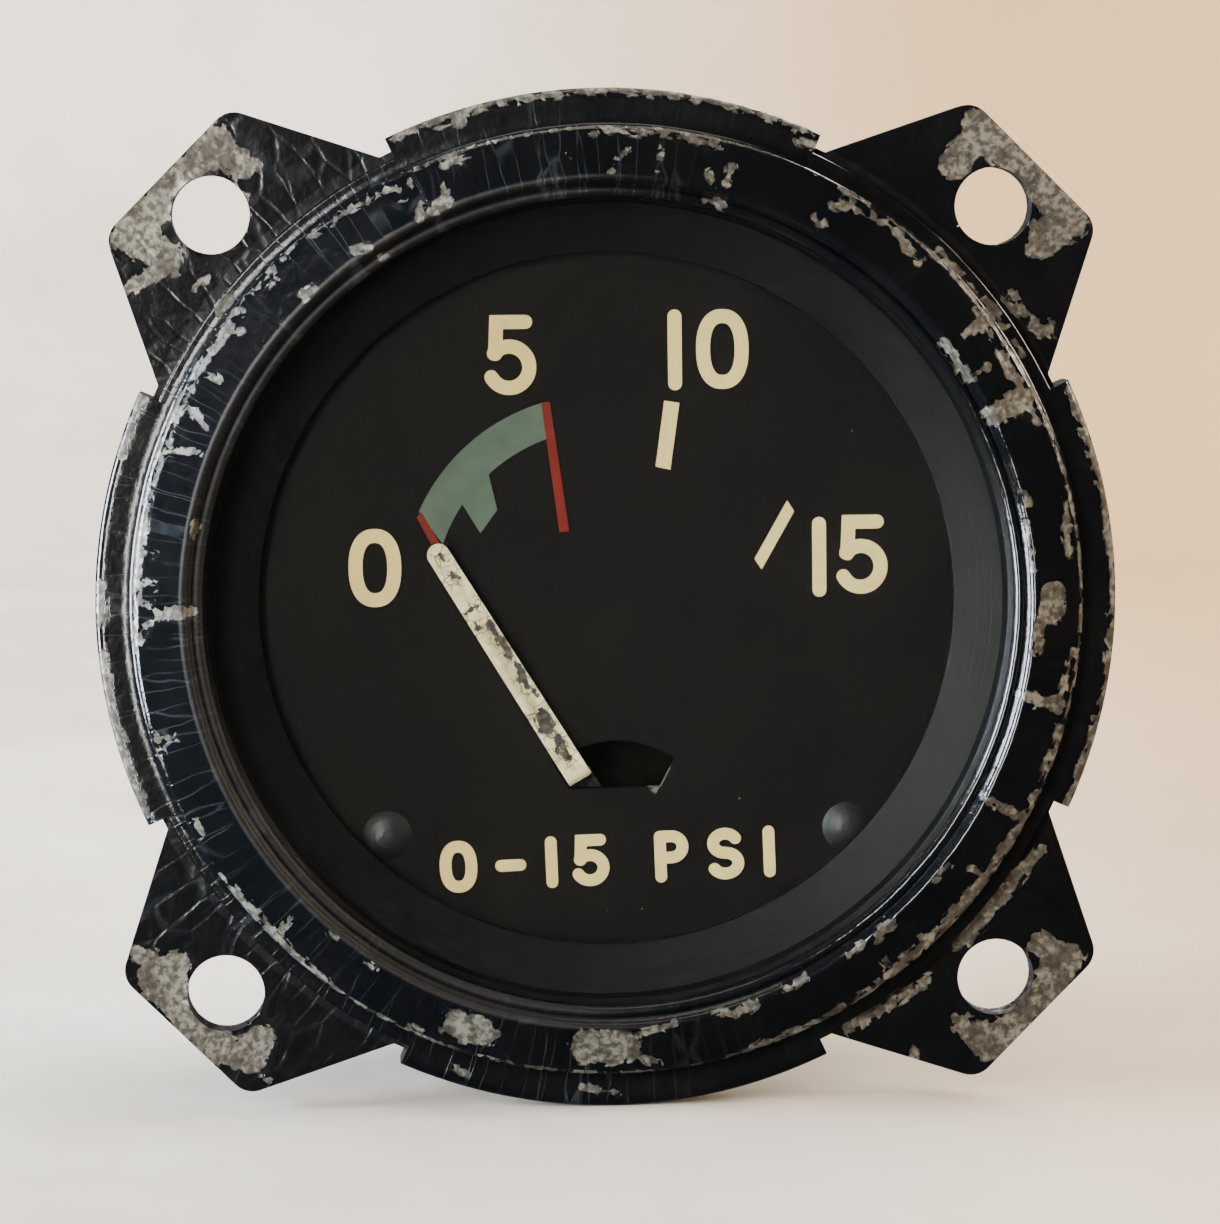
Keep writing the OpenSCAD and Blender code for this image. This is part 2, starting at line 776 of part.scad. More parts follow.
module stem_seal() {
    color("#3a2a20") ring_along_y(seal_d, stem_d, y_case_floor - seal_t, y_case_floor);
}

module stem_washer() {
    color("#8a8d92") ring_along_y(washer_d, stem_d + clearance, y_case_back, y_case_back + washer_t);
}

// Hexagon nut with its corners turned off at the outer face
module stem_nut() {
    y0 = y_case_back + washer_t;
    corner_r = nut_af / 2 / cos(30);
    color("#a98545") difference() {
        intersection() {
            slab(y0, y0 + nut_t) circle(corner_r, $fn = 6);
            revolve() polygon([
                [0, y0], [corner_r + past, y0], [corner_r + past, y0 + nut_t - nut_chamfer],
                [nut_af / 2 - 0.2, y0 + nut_t], [0, y0 + nut_t]
            ]);
        }
        hole(stem_d, y0, y0 + nut_t);
    }
}

mounting_flange();
bezel_ring();
cover_glass();
glass_gasket();
spacer_ring();
dial_plate();
dial_screws();
dial_posts();
pointer();
pointer_hub();
pointer_staff();
crank();
crank_pin();
link();
tip_pin();
tube_tip();
bourdon_tube();
socket_block();
restrictor_screw();
front_plate();
back_plate();
frame_pillars();
frame_screws();
block_screws();
pivot_bushes();
case_cup();
stem_seal();
stem_washer();
stem_nut();
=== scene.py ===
"""Looks of a small panel pressure gauge, built round its packed construction model.

Everything is in metres in the frame of the construction model: X to the right, Z up and Y from the
dial to the back. Sizes in the classes are millimetres, and MM turns them to metres.
"""

import logging
import math
from collections import Counter
from collections.abc import Iterable, Sequence
from dataclasses import dataclass, field
from enum import Enum

import bmesh
import bpy
import numpy as np
from mathutils import Matrix, Vector, noise


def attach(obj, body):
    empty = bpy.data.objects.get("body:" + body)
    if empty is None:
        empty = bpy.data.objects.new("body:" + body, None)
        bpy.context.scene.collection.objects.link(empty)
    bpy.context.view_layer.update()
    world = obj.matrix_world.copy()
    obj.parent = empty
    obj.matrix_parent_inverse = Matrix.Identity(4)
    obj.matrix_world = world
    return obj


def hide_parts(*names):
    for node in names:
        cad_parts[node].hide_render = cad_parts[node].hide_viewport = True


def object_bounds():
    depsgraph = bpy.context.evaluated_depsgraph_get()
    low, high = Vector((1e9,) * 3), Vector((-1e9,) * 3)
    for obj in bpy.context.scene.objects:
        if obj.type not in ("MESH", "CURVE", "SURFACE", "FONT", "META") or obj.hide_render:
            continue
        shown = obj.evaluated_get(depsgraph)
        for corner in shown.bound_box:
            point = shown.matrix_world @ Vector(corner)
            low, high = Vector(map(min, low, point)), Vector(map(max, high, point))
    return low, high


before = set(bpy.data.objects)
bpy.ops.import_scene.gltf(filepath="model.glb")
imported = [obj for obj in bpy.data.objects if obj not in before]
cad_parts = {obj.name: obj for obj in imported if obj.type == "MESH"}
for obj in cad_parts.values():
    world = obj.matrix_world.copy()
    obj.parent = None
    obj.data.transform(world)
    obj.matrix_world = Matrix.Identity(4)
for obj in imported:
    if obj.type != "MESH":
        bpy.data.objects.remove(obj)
cad_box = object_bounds()

MM = 0.001
LOG = logging.getLogger("gauge")

# Flat sheets that overlap in one piece lie this far apart, in millimetres
LAYER = 0.002
# Vertices nearer than this are one, in metres
SAME_PLACE = 1e-7
# Depths inside a bare patch are stored up to this far on both sides of its edge, in millimetres
DEPTH_LIMIT = 0.9
# A chip lies this far under the paint, and its wall stands between these depths inside its edge
CHIP_DEEP = 0.04
CHIP_WALL = (-0.05, 0.1)

Point = tuple[float, float]
Stroke = tuple[float, float, float, float, float]
Sheet = tuple[list[Point], list[tuple[int, ...]]]
Arc = tuple[Point, float, float, float, int]
Socket = bpy.types.NodeSocket
Link = Socket | float | str | tuple[float, ...]


def linear(hex_colour: str) -> tuple[float, float, float, float]:
    """Turns an sRGB hex colour to a linear one.

    Args:
        hex_colour: Six hex digits after a hash.

    Returns:
        Red, green, blue and an alpha of 1.
    """
    parts = [int(hex_colour[i : i + 2], 16) / 255 for i in (1, 3, 5)]
    flat = [c / 12.92 if c <= 0.04045 else ((c + 0.055) / 1.055) ** 2.4 for c in parts]
    return (*flat, 1.0)


def arc(centre: Point, radius: float, start: float, end: float, steps: int) -> list[Point]:
    """Points of a circular arc.

    Args:
        centre: Middle of the arc.
        radius: Its radius.
        start: First angle in degrees.
        end: Last angle in degrees.
        steps: How many chords it has.

    Returns:
        The points in order, both ends included.
    """
    return ellipse_arc(centre, (radius, radius), start, end, steps)


def ellipse_arc(centre: Point, radii: Point, start: float, end: float, steps: int) -> list[Point]:
    """Points of an arc of an ellipse that stands square to the axes.

    Args:
        centre: Middle of the ellipse.
        radii: Its half width and half height.
        start: First angle in degrees.
        end: Last angle in degrees.
        steps: How many chords it has.

    Returns:
        The points in order, both ends included.
    """
    turns = [math.radians(start + (end - start) * i / steps) for i in range(steps + 1)]
    return [(centre[0] + radii[0] * math.cos(t), centre[1] + radii[1] * math.sin(t)) for t in turns]


def resampled(path: Sequence[Point], count: int) -> np.ndarray:
    """Spreads points evenly along a path.

    Args:
        path: Corners of the path.
        count: How many points come back.

    Returns:
        An array of count points with both ends kept.
    """
    p = np.array(path, float)
    run = np.concatenate([[0], np.cumsum(np.hypot(*np.diff(p, axis=0).T))])
    want = np.linspace(0, run[-1], count)
    return np.stack([np.interp(want, run, p[:, k]) for k in (0, 1)], 1)


def densified(path: Sequence[Point], pitch: float) -> np.ndarray:
    """Adds points to a path so that none lie further apart than a pitch.

    Args:
        path: Corners of the path, all of which are kept.
        pitch: The longest step.

    Returns:
        The path with the added points.
    """
    out = []
    for a, b in zip(path[:-1], path[1:]):
        n = max(1, math.ceil(math.dist(a, b) / pitch))
        out += [(a[0] + (b[0] - a[0]) * i / n, a[1] + (b[1] - a[1]) * i / n) for i in range(n)]
    return np.array([*out, path[-1]], float)


def smoothstep(low: float, high: float, value: np.ndarray) -> np.ndarray:
    """A soft step from 0 at low to 1 at high.

    Args:
        low: Where the step starts.
        high: Where it ends.
        value: The numbers to step.

    Returns:
        The stepped numbers.
    """
    t = np.clip((value - low) / (high - low), 0, 1)
    return t * t * (3 - 2 * t)


def noise_at(points: np.ndarray, size: float) -> np.ndarray:
    """Smooth noise between about -1 and 1 that is the same each run.

    Args:
        points: Rows of three coordinates in millimetres.
        size: Width of one lump in millimetres.

    Returns:
        One number for each row.
    """
    return np.array([noise.noise(Vector(p / size)) for p in points])


def stroke_depth(points: np.ndarray, strokes: Sequence[Stroke]) -> np.ndarray:
    """How deep each point lies inside the nearest of several round-ended strokes.

    Args:
        points: Rows of two coordinates in millimetres.
        strokes: Rows of start, end and width: x0, y0, x1, y1, width.

    Returns:
        Millimetres inside the nearest edge, and less than 0 outside.
    """
    best = np.full(len(points), -math.inf)
    for x0, y0, x1, y1, width in strokes:
        a, d = np.array([x0, y0]), np.array([x1 - x0, y1 - y0])
        t = np.clip((points - a) @ d / max(d @ d, 1e-9), 0, 1)
        best = np.maximum(best, width / 2 - np.hypot(*(points - a - t[:, None] * d).T))
    return best


def chip_relief(depth: np.ndarray) -> np.ndarray:
    """How far each point sinks where paint has chipped off, in millimetres."""
    return CHIP_DEEP * smoothstep(*CHIP_WALL, depth)


def loft_faces(rows: int, columns: int, closed: bool) -> list[tuple[int, ...]]:
    """Faces between rows of corners, of which the last row joins the first.

    Args:
        rows: How many rows there are.
        columns: How many corners each row has.
        closed: True where each row runs back into its own start.

    Returns:
        Four corner numbers for each face.
    """
    faces = []
    for i in range(rows):
        here, there = i * columns, (i + 1) % rows * columns
        for k in range(columns if closed else columns - 1):
            m = (k + 1) % columns
            faces.append((here + k, here + m, there + m, there + k))
    return faces


def finished(name: str, bm: bmesh.types.BMesh, crease: float = 32) -> bpy.types.Object:
    """Turns a working mesh into a linked object, smooth up to a crease angle.

    Args:
        name: Name of the piece.
        bm: The working mesh, which is freed.
        crease: Edges sharper than this many degrees stay crisp.

    Returns:
        The object.
    """
    bmesh.ops.recalc_face_normals(bm, faces=bm.faces[:])
    mesh = bpy.data.meshes.new(name)
    bm.to_mesh(mesh)
    bm.free()
    mesh.shade_smooth()
    mesh.set_sharp_from_angle(angle=math.radians(crease))
    obj = bpy.data.objects.new(name, mesh)
    bpy.context.scene.collection.objects.link(obj)
    return obj


def from_faces(
    name: str, points: Iterable[Sequence[float]], faces: Iterable[Sequence[int]], crease: float = 32
) -> bpy.types.Object:
    """Makes an object from points in millimetres and faces.

    Args:
        name: Name of the piece.
        points: Corners as x, y, z in millimetres.
        faces: Corner numbers of each face.
        crease: Edges sharper than this many degrees stay crisp.

    Returns:
        The object.
    """
    bm = bmesh.new()
    corners = [bm.verts.new([c * MM for c in p]) for p in points]
    for f in faces:
        bm.faces.new([corners[i] for i in f])
    bmesh.ops.remove_doubles(bm, verts=bm.verts[:], dist=SAME_PLACE)
    return finished(name, bm, crease)


def flat_solid(name: str, sheets: Sequence[Sheet], front: float, back: float) -> bpy.types.Object:
    """Thickens flat sheets that face the viewer into one object.

    Args:
        name: Name of the piece.
        sheets: Corners of each sheet as x, z in millimetres, and its faces as corner numbers.
        front: Place of the front along Y. Each further sheet lies a layer nearer.
        back: Place of the back along Y.

    Returns:
        The object.
    """
    solid: list[tuple[float, float, float]] = []
    walls: list[tuple[int, ...]] = []
    for layer, (points, faces) in enumerate(sheets):
        base, n = len(solid), len(points)
        y = front - layer * LAYER
        solid += [(x, y, z) for x, z in points] + [(x, back, z) for x, z in points]
        sides = [(a, b) for f in faces for a, b in zip(f, [*f[1:], f[0]])]
        count = Counter(frozenset(side) for side in sides)
        for f in faces:
            walls.append(tuple(i + base for i in f))
            walls.append(tuple(i + base + n for i in reversed(f)))
        for a, b in sides:
            if count[frozenset((a, b))] == 1:
                walls.append((a + base, b + base, b + base + n, a + base + n))
    return from_faces(name, solid, walls)


def cut_copy(
    node: str, name: str, pitch: float, directions: Sequence[Vector], crease: float = 32
) -> bpy.types.Object:
    """Copies a construction solid and cuts it into small cells, so that wear can be drawn into it.

    Args:
        node: The construction node.
        name: Name of the new piece.
        pitch: Width of a cell in millimetres.
        directions: Unit vectors square to the cuts.
        crease: Edges sharper than this many degrees stay crisp.

    Returns:
        The new object, which lies where the node does.
    """
    bm = bmesh.new()
    bm.from_mesh(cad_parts[node].data)
    bmesh.ops.remove_doubles(bm, verts=bm.verts[:], dist=SAME_PLACE)
    for way in directions:
        along = [v.co.dot(way) for v in bm.verts]
        place = math.floor(min(along) / (pitch * MM)) + 1
        while place * pitch * MM < max(along):
            geom, at = [*bm.verts, *bm.edges, *bm.faces], way * place * pitch * MM
            bmesh.ops.bisect_plane(bm, geom=geom, dist=SAME_PLACE, plane_co=at, plane_no=way)
            place += 1
    return finished(name, bm, crease)


def corners_mm(obj: bpy.types.Object) -> np.ndarray:
    """All corners of an object's mesh in millimetres, as rows of x, y, z."""
    co = np.zeros(len(obj.data.vertices) * 3)
    obj.data.vertices.foreach_get("co", co)
    return co.reshape(-1, 3) / MM


def set_corners(obj: bpy.types.Object, points: np.ndarray) -> None:
    """Moves an object's corners to rows of x, y, z in millimetres."""
    obj.data.vertices.foreach_set("co", (points * MM).ravel())
    obj.data.update()


def mark(obj: bpy.types.Object, name: str, values: np.ndarray) -> None:
    """Keeps one depth in millimetres for each corner, which a finish can read by its name."""
    values = np.clip(values, -DEPTH_LIMIT, DEPTH_LIMIT).astype(np.float32)
    obj.data.attributes.new(name, "FLOAT", "POINT").data.foreach_set("value", values)


# Radius at which patterns round the bezel have their stated width
BEZEL_RADIUS = 28.0
# Outputs of a soft step that falls from 1 to 0
FALLING: dict[str, float] = {"To Min": 1.0, "To Max": 0.0}
# Lays a place flat on the dial
FLAT = (1.0, 0.0, 1.0)


class Kind(Enum):
    """Kinds of shader node: Blender's name, the usual settings and the output that is passed on."""

    PLACE = ("ShaderNodeTexCoord", {}, "Object")
    STORED = ("ShaderNodeAttribute", {}, "Fac")
    NOISE = ("ShaderNodeTexNoise", {}, "Fac")
    NOISE_1D = ("ShaderNodeTexNoise", {"noise_dimensions": "1D"}, "Fac")
    WARP = ("ShaderNodeTexNoise", {}, "Color")
    CELL = ("ShaderNodeTexVoronoi", {"feature": "F1"}, "Distance")
    CELL_SHADE = ("ShaderNodeTexVoronoi", {"feature": "F1"}, "Color")
    CELL_EDGE = ("ShaderNodeTexVoronoi", {"feature": "DISTANCE_TO_EDGE"}, "Distance")
    PLUS = ("ShaderNodeMath", {"operation": "ADD"}, 0)
    TIMES = ("ShaderNodeMath", {"operation": "MULTIPLY"}, 0)
    TIMES_PLUS = ("ShaderNodeMath", {"operation": "MULTIPLY_ADD"}, 0)
    OVER = ("ShaderNodeMath", {"operation": "DIVIDE"}, 0)
    STEP = ("ShaderNodeMapRange", {"interpolation_type": "SMOOTHSTEP"}, 0)
    BLEND = ("ShaderNodeMix", {"data_type": "RGBA"}, 2)
    X = ("ShaderNodeSeparateXYZ", {}, 0)
    Y = ("ShaderNodeSeparateXYZ", {}, 1)
    JOIN = ("ShaderNodeCombineXYZ", {}, 0)
    SCALE = ("ShaderNodeVectorMath", {"operation": "SCALE"}, 0)
    STRETCH = ("ShaderNodeVectorMath", {"operation": "MULTIPLY"}, 0)
    STRETCH_PLUS = ("ShaderNodeVectorMath", {"operation": "MULTIPLY_ADD"}, 0)
    LENGTH = ("ShaderNodeVectorMath", {"operation": "LENGTH"}, 1)
    DOT = ("ShaderNodeVectorMath", {"operation": "DOT_PRODUCT"}, 1)
    BUMP = ("ShaderNodeBump", {}, 0)
    SURFACE = ("ShaderNodeBsdfPrincipled", {}, 0)
    CLEAR = ("ShaderNodeBsdfTransparent", {}, 0)
    LAMP_RAY = ("ShaderNodeLightPath", {}, "Is Shadow Ray")
    EITHER = ("ShaderNodeMixShader", {}, 0)
    OUTPUT = ("ShaderNodeOutputMaterial", {}, None)
    LOOKING = ("ShaderNodeTexCoord", {}, "Generated")
    SKY = ("ShaderNodeBackground", {}, 0)
    SKY_OUTPUT = ("ShaderNodeOutputWorld", {}, None)


class Nodes:
    """A node tree while it is being put together."""

    def __init__(self, owner: bpy.types.Material | bpy.types.World) -> None:
        """Empties the tree of a material or of the room."""
        owner.use_nodes = True
        self.tree = owner.node_tree
        self.tree.nodes.clear()

    def add(self, kind: Kind, links: dict[int | str, Link] | None = None, **settings: str) -> Socket | None:
        """Adds one node with its settings and links.

        Args:
            kind: What the node does.
            links: What goes into each socket, by name or number: another node's output, a value
                or a hex colour.
            settings: Further properties of the node by name.

        Returns:
            The node's output, or None where it has none.
        """
        blender_name, usual, output = kind.value
        node = self.tree.nodes.new(blender_name)
        for key, value in (usual | settings).items():
            setattr(node, key, value)
        for key, value in (links or {}).items():
            if isinstance(value, Socket):
                self.tree.links.new(value, node.inputs[key])
            else:
                node.inputs[key].default_value = linear(value) if isinstance(value, str) else value
        return None if output is None else node.outputs[output]


class Finish(Nodes):
    """A material while its nodes are being put together."""

    def __init__(self, name: str) -> None:
        """Starts an empty material of that name, whose patterns are in millimetres."""
        self.material = bpy.data.materials.new(name)
        super().__init__(self.material)
        self.place = self.add(Kind.SCALE, {0: self.add(Kind.PLACE), "Scale": 1 / MM})

    def round_the_axis(self, across: float, along: float) -> Socket:
        """A place for patterns that run out from the dial's middle.

        Args:
            across: Width of a cell round the ring, in millimetres at the bezel's radius.
            along: Length of a cell along the radius, in millimetres.

        Returns:
            A vector socket that has no seam.
        """
        flat = self.add(Kind.STRETCH, {0: self.place, 1: FLAT})
        radius = self.add(Kind.LENGTH, {0: flat})
        cells = self.add(Kind.OVER, {0: BEZEL_RADIUS / across, 1: radius})
        round_it = self.add(Kind.SCALE, {0: flat, "Scale": cells})
        run = self.add(Kind.PLUS, {0: radius, 1: self.add(Kind.Y, {0: self.place})})
        outward = self.add(Kind.JOIN, {1: self.add(Kind.OVER, {0: run, 1: along})})
        return self.add(Kind.STRETCH_PLUS, {0: round_it, 1: (1.0, 1.0, 1.0), 2: outward})

    def radius(self) -> Socket:
        """Distance from the dial's axis in millimetres."""
        return self.add(Kind.LENGTH, {0: self.add(Kind.STRETCH, {0: self.place, 1: FLAT})})

    def patches(self, size: float, detail: float, low: float, high: float) -> Socket:
        """Soft-edged patches of noise.

        Args:
            size: Width of one patch in millimetres.
            detail: How many finer noises make its edge ragged.
            low: Noise up to this gives 0.
            high: Noise from this on gives 1.

        Returns:
            A socket from 0 to 1.
        """
        lumps = self.add(Kind.NOISE, {"Vector": self.place, "Scale": 1 / size, "Detail": detail})
        return self.add(Kind.STEP, {"Value": lumps, "From Min": low, "From Max": high})

    def summed(self, start: Link, *parts: tuple[Socket, float]) -> Link:
        """Adds up weighted patterns.

        Args:
            start: What they are added to.
            parts: Each pattern and its weight.

        Returns:
            The sum.
        """
        for part, weight in parts:
            start = self.add(Kind.TIMES_PLUS, {0: part, 1: weight, 2: start})
        return start

    def close(self, colour: Link, rough: Link, height: Link, **fixed: Link) -> bpy.types.Material:
        """Ends the material with its surface.

        Args:
            colour: The colour, as a socket or a hex colour.
            rough: The roughness.
            height: Relief in millimetres.
            fixed: Other inputs of the surface, with _ for a space in their names.

        Returns:
            The finished material.
        """
        inputs = {name.replace("_", " "): value for name, value in fixed.items()}
        normal = self.add(Kind.BUMP, {"Height": height, "Strength": 1.0, "Distance": MM})
        inputs |= {"Base Color": colour, "Roughness": rough, "Normal": normal}
        self.add(Kind.OUTPUT, {"Surface": self.add(Kind.SURFACE, inputs)})
        return self.material


@dataclass(frozen=True)
class StovedEnamel:
    """Black stoving enamel on plated sheet steel: glossy, blue-black, crazed with age and chipped.

    The gloss gives narrow window lights. The crazing runs out from the dial in fine lines, which are
    painted lighter grey on the left, lit side as a painted glint. Each chip shows the dull grey-green
    plating inside a painted shadow along its paint edge, which has a height of its own.
    """

    name: str = "stoved_black_enamel"
    paint: str = "#06080b"
    paint_aged: str = "#0b0c0e"
    craze_glint_grey: str = "#1f2428"
    plating: str = "#7d7f76"
    plating_dull: str = "#464742"
    rust: str = "#322d27"
    edge_shadow: str = "#10100e"
    # Cells between the crazing's lines, across and out from the dial, in millimetres. A line's width
    # is a share of a cell, and both are coarser than the real ones, so that they show
    craze_across: float = 1.1
    craze_along: float = 20.0
    craze_wide: float = 0.045
    craze_deep: float = 0.007
    # Dirt dulls the inner lip out to this radius, fading out between two places across the dial, and
    # the foot of the wall between two radii
    dirt_to: float = 25.9
    dirt_rough: float = 0.45
    dirt_across: Point = (-8.0, 8.0)
    foot: Point = (28.65, 30.2)
    foot_rough: float = 0.08
    # The crazing and its painted glint are kept to the left, lit side: they fade out between these places
    # across the dial, down to the last share on the right
    craze_lit_to: Point = (-3.0, 9.0)
    craze_right: float = 0.12
    # A warp of this width bends the crazing by this share of a cell
    craze_warp: Point = (2.5, 0.35)
    rough: Point = (0.08, 0.22)
    paint_thick: float = 0.07
    # Width and height of the stoved skin's lumps, of its smears and of its grit
    lump: Point = (1.1, 0.036)
    smear: Point = (0.9, 0.025)
    grit: Point = (0.28, 0.009)
    # Paint breaks off in angular flakes of this size, each with its own reach, and with a ragged edge
    flake: float = 0.5
    flake_reach: float = 0.4
    ragged: float = 0.5
    fine: float = 0.16
    # Half the width of a chip's outline, and how far the painted shadow along its paint edge reaches into it
    outline: float = 0.015
    edge_shadow_band: Point = (0.02, 0.09)
    # Width of a rust spot, how much it covers the plating and how much it roughens it
    pit: float = 1.5
    pit_cover: float = 0.8
    pit_rough: float = 0.2
    metal_rough: float = 0.34
    # The plating is dulled by its corrosion, so it counts as metal only in part
    metallic: float = 0.4

    def build(self) -> bpy.types.Material:
        """Builds the material, which reads the stored depth inside a bare patch."""
        f = Finish(self.name)
        lumps = f.add(Kind.NOISE, {"Vector": f.place, "Scale": 1 / self.lump[0], "Detail": 3.0})
        grit = f.add(Kind.NOISE, {"Vector": f.place, "Scale": 1 / self.grit[0], "Detail": 2.0})
        shade = f.add(Kind.X, {0: f.add(Kind.CELL_SHADE, {"Vector": f.place, "Scale": 1 / self.flake})})
        depth = f.add(Kind.STORED, attribute_name="bare")
        depth = f.summed(depth, (shade, self.flake_reach), (lumps, self.ragged), (grit, self.fine))
        edge = (self.flake_reach + self.ragged + self.fine) / 2
        bare = {"Value": depth, "From Min": edge - self.outline, "From Max": edge + self.outline}
        bare = f.add(Kind.STEP, bare)
        near, far = self.edge_shadow_band
        inside = f.add(Kind.STEP, {"Value": depth, "From Min": edge + near, "From Max": edge + far})

        size, bend = self.craze_warp
        warp = f.add(Kind.WARP, {"Vector": f.place, "Scale": 1 / size, "Detail": 1.0})
        cells = f.round_the_axis(self.craze_across, self.craze_along)
        bent = f.add(Kind.STRETCH_PLUS, {0: warp, 1: (bend, bend, bend), 2: cells})
        line = f.add(Kind.CELL_EDGE, {"Vector": bent, "Scale": 1.0})
        craze = f.add(Kind.STEP, FALLING | {"Value": line, "From Max": self.craze_wide})
        across = f.add(Kind.X, {0: f.place})
        # The crazing, with its lighter lines as a painted glint, is kept mostly to the left, lit side
        side = {"Value": across, "From Min": self.craze_lit_to[0], "From Max": self.craze_lit_to[1], "To Min": 1.0}
        side = f.add(Kind.STEP, side | {"To Max": self.craze_right})
        patch = f.add(Kind.TIMES, {0: f.patches(3.5, 2.0, 0.36, 0.62), 1: side})
        craze = f.add(Kind.TIMES, {0: craze, 1: patch})

        # Rust and dirt spot the plating inside a chip, so it is mottled
        metal = {0: f.patches(0.4, 4.0, 0.38, 0.6), 6: self.plating_dull, 7: self.plating}
        metal = f.add(Kind.BLEND, metal)
        pits = {"Vector": f.place, "Scale": 1 / self.pit, "Detail": 6.0, "Roughness": 0.72}
        pits = f.add(Kind.STEP, {"Value": f.add(Kind.NOISE, pits), "From Min": 0.43, "From Max": 0.58})
        metal = {0: f.add(Kind.TIMES, {0: pits, 1: self.pit_cover}), 6: metal, 7: self.rust}
        metal = f.add(Kind.BLEND, metal)
        # Along a chip's edge the plating gives way to a painted shadow of the paint edge
        metal = f.add(Kind.BLEND, {0: inside, 6: self.edge_shadow, 7: metal})
        tone = f.patches(5.0, 3.0, 0.35, 0.75)
        skin = f.add(Kind.BLEND, {0: tone, 6: self.paint, 7: self.paint_aged})
        # Lighter grey crazing lines: a painted glint of the window light on the crack edges
        skin = f.add(Kind.BLEND, {0: craze, 6: skin, 7: self.craze_glint_grey})
        colour = f.add(Kind.BLEND, {0: bare, 6: skin, 7: metal})

        smears = f.add(Kind.NOISE, {"Vector": f.place, "Scale": 1 / self.smear[0], "Detail": 3.0})
        rough_metal = f.summed(self.metal_rough, (pits, self.pit_rough))
        rough = {"Value": bare, "To Min": self.rough_paint(f, smears, across), "To Max": rough_metal}
        rough = f.add(Kind.STEP, rough)
        relief = f.summed(f.add(Kind.TIMES, {0: bare, 1: -self.paint_thick}), (craze, -self.craze_deep))
        relief = f.summed(relief, (lumps, self.lump[1]), (smears, self.smear[1]), (grit, self.grit[1]))
        return f.close(colour, rough, relief, Metallic=f.add(Kind.TIMES, {0: inside, 1: self.metallic}))

    def rough_paint(self, f: Finish, smears: Socket, across: Socket) -> Socket:
        """Roughness of the paint, with the dirt that dulls it.

        Args:
            f: The finish that it is for.
            smears: Noise that makes it uneven.
            across: Place across the dial, in millimetres to the right.

        Returns:
            The roughness.
        """
        skin = f.summed(self.rough[0], (smears, self.rough[1] - self.rough[0]))
        radius = f.radius()
        dirt = {"Value": radius, "From Min": self.dirt_to - 0.3, "From Max": self.dirt_to}
        dirt = f.add(Kind.STEP, dirt | {"To Min": self.dirt_rough, "To Max": 0.0})
        left = {"Value": across, "From Min": self.dirt_across[0], "From Max": self.dirt_across[1]}
        left = f.add(Kind.STEP, FALLING | left)
        skin = f.add(Kind.TIMES_PLUS, {0: dirt, 1: left, 2: skin})
        foot = {"Value": radius, "From Min": self.foot[0], "From Max": self.foot[0] + 0.2}
        foot = f.add(Kind.STEP, foot | {"To Max": self.foot_rough})
        rim = FALLING | {"Value": radius, "From Min": self.foot[1], "From Max": self.foot[1] + 0.2}
        return f.add(Kind.TIMES_PLUS, {0: foot, 1: f.add(Kind.STEP, rim), 2: skin})


@dataclass(frozen=True)
class PlainEnamel:
    """Black enamel on the drawn case: satin, lightly scuffed, with an orange-peel skin 1.5 mm across."""

    name: str
    paint: str = "#0c0e11"
    scuff: str = "#33332f"
    rough: Point = (0.34, 0.55)
    # Scuffs run along the draw: width of a line, shrinking that makes it long, cover and depth
    line: float = 0.35
    draw: tuple[float, float, float] = (1.0, 0.12, 1.0)
    cover: float = 0.7
    scuff_deep: float = 0.01
    # Width and height of the orange peel
    peel: Point = (1.5, 0.03)

    def build(self) -> bpy.types.Material:
        """Builds the material."""
        f = Finish(self.name)
        drawn = f.add(Kind.STRETCH, {0: f.place, 1: self.draw})
        lines = f.add(Kind.NOISE, {"Vector": drawn, "Scale": 1 / self.line, "Detail": 3.0})
        lines = f.add(Kind.STEP, {"Value": lines, "From Min": 0.62, "From Max": 0.7})
        scuffs = f.add(Kind.TIMES, {0: lines, 1: f.patches(6.0, 2.0, 0.5, 0.68)})
        shown = f.add(Kind.TIMES, {0: scuffs, 1: self.cover})
        colour = f.add(Kind.BLEND, {0: shown, 6: self.paint, 7: self.scuff})
        peel = f.add(Kind.NOISE, {"Vector": f.place, "Scale": 1 / self.peel[0]})
        relief = f.summed(f.add(Kind.TIMES, {0: scuffs, 1: -self.scuff_deep}), (peel, self.peel[1]))
        smears = f.add(Kind.NOISE, {"Vector": f.place, "Scale": 1 / 2.5, "Detail": 3.0})
        rough = f.summed(self.rough[0], (smears, self.rough[1] - self.rough[0]))
        return f.close(colour, rough, relief, Specular_IOR_Level=0.35)


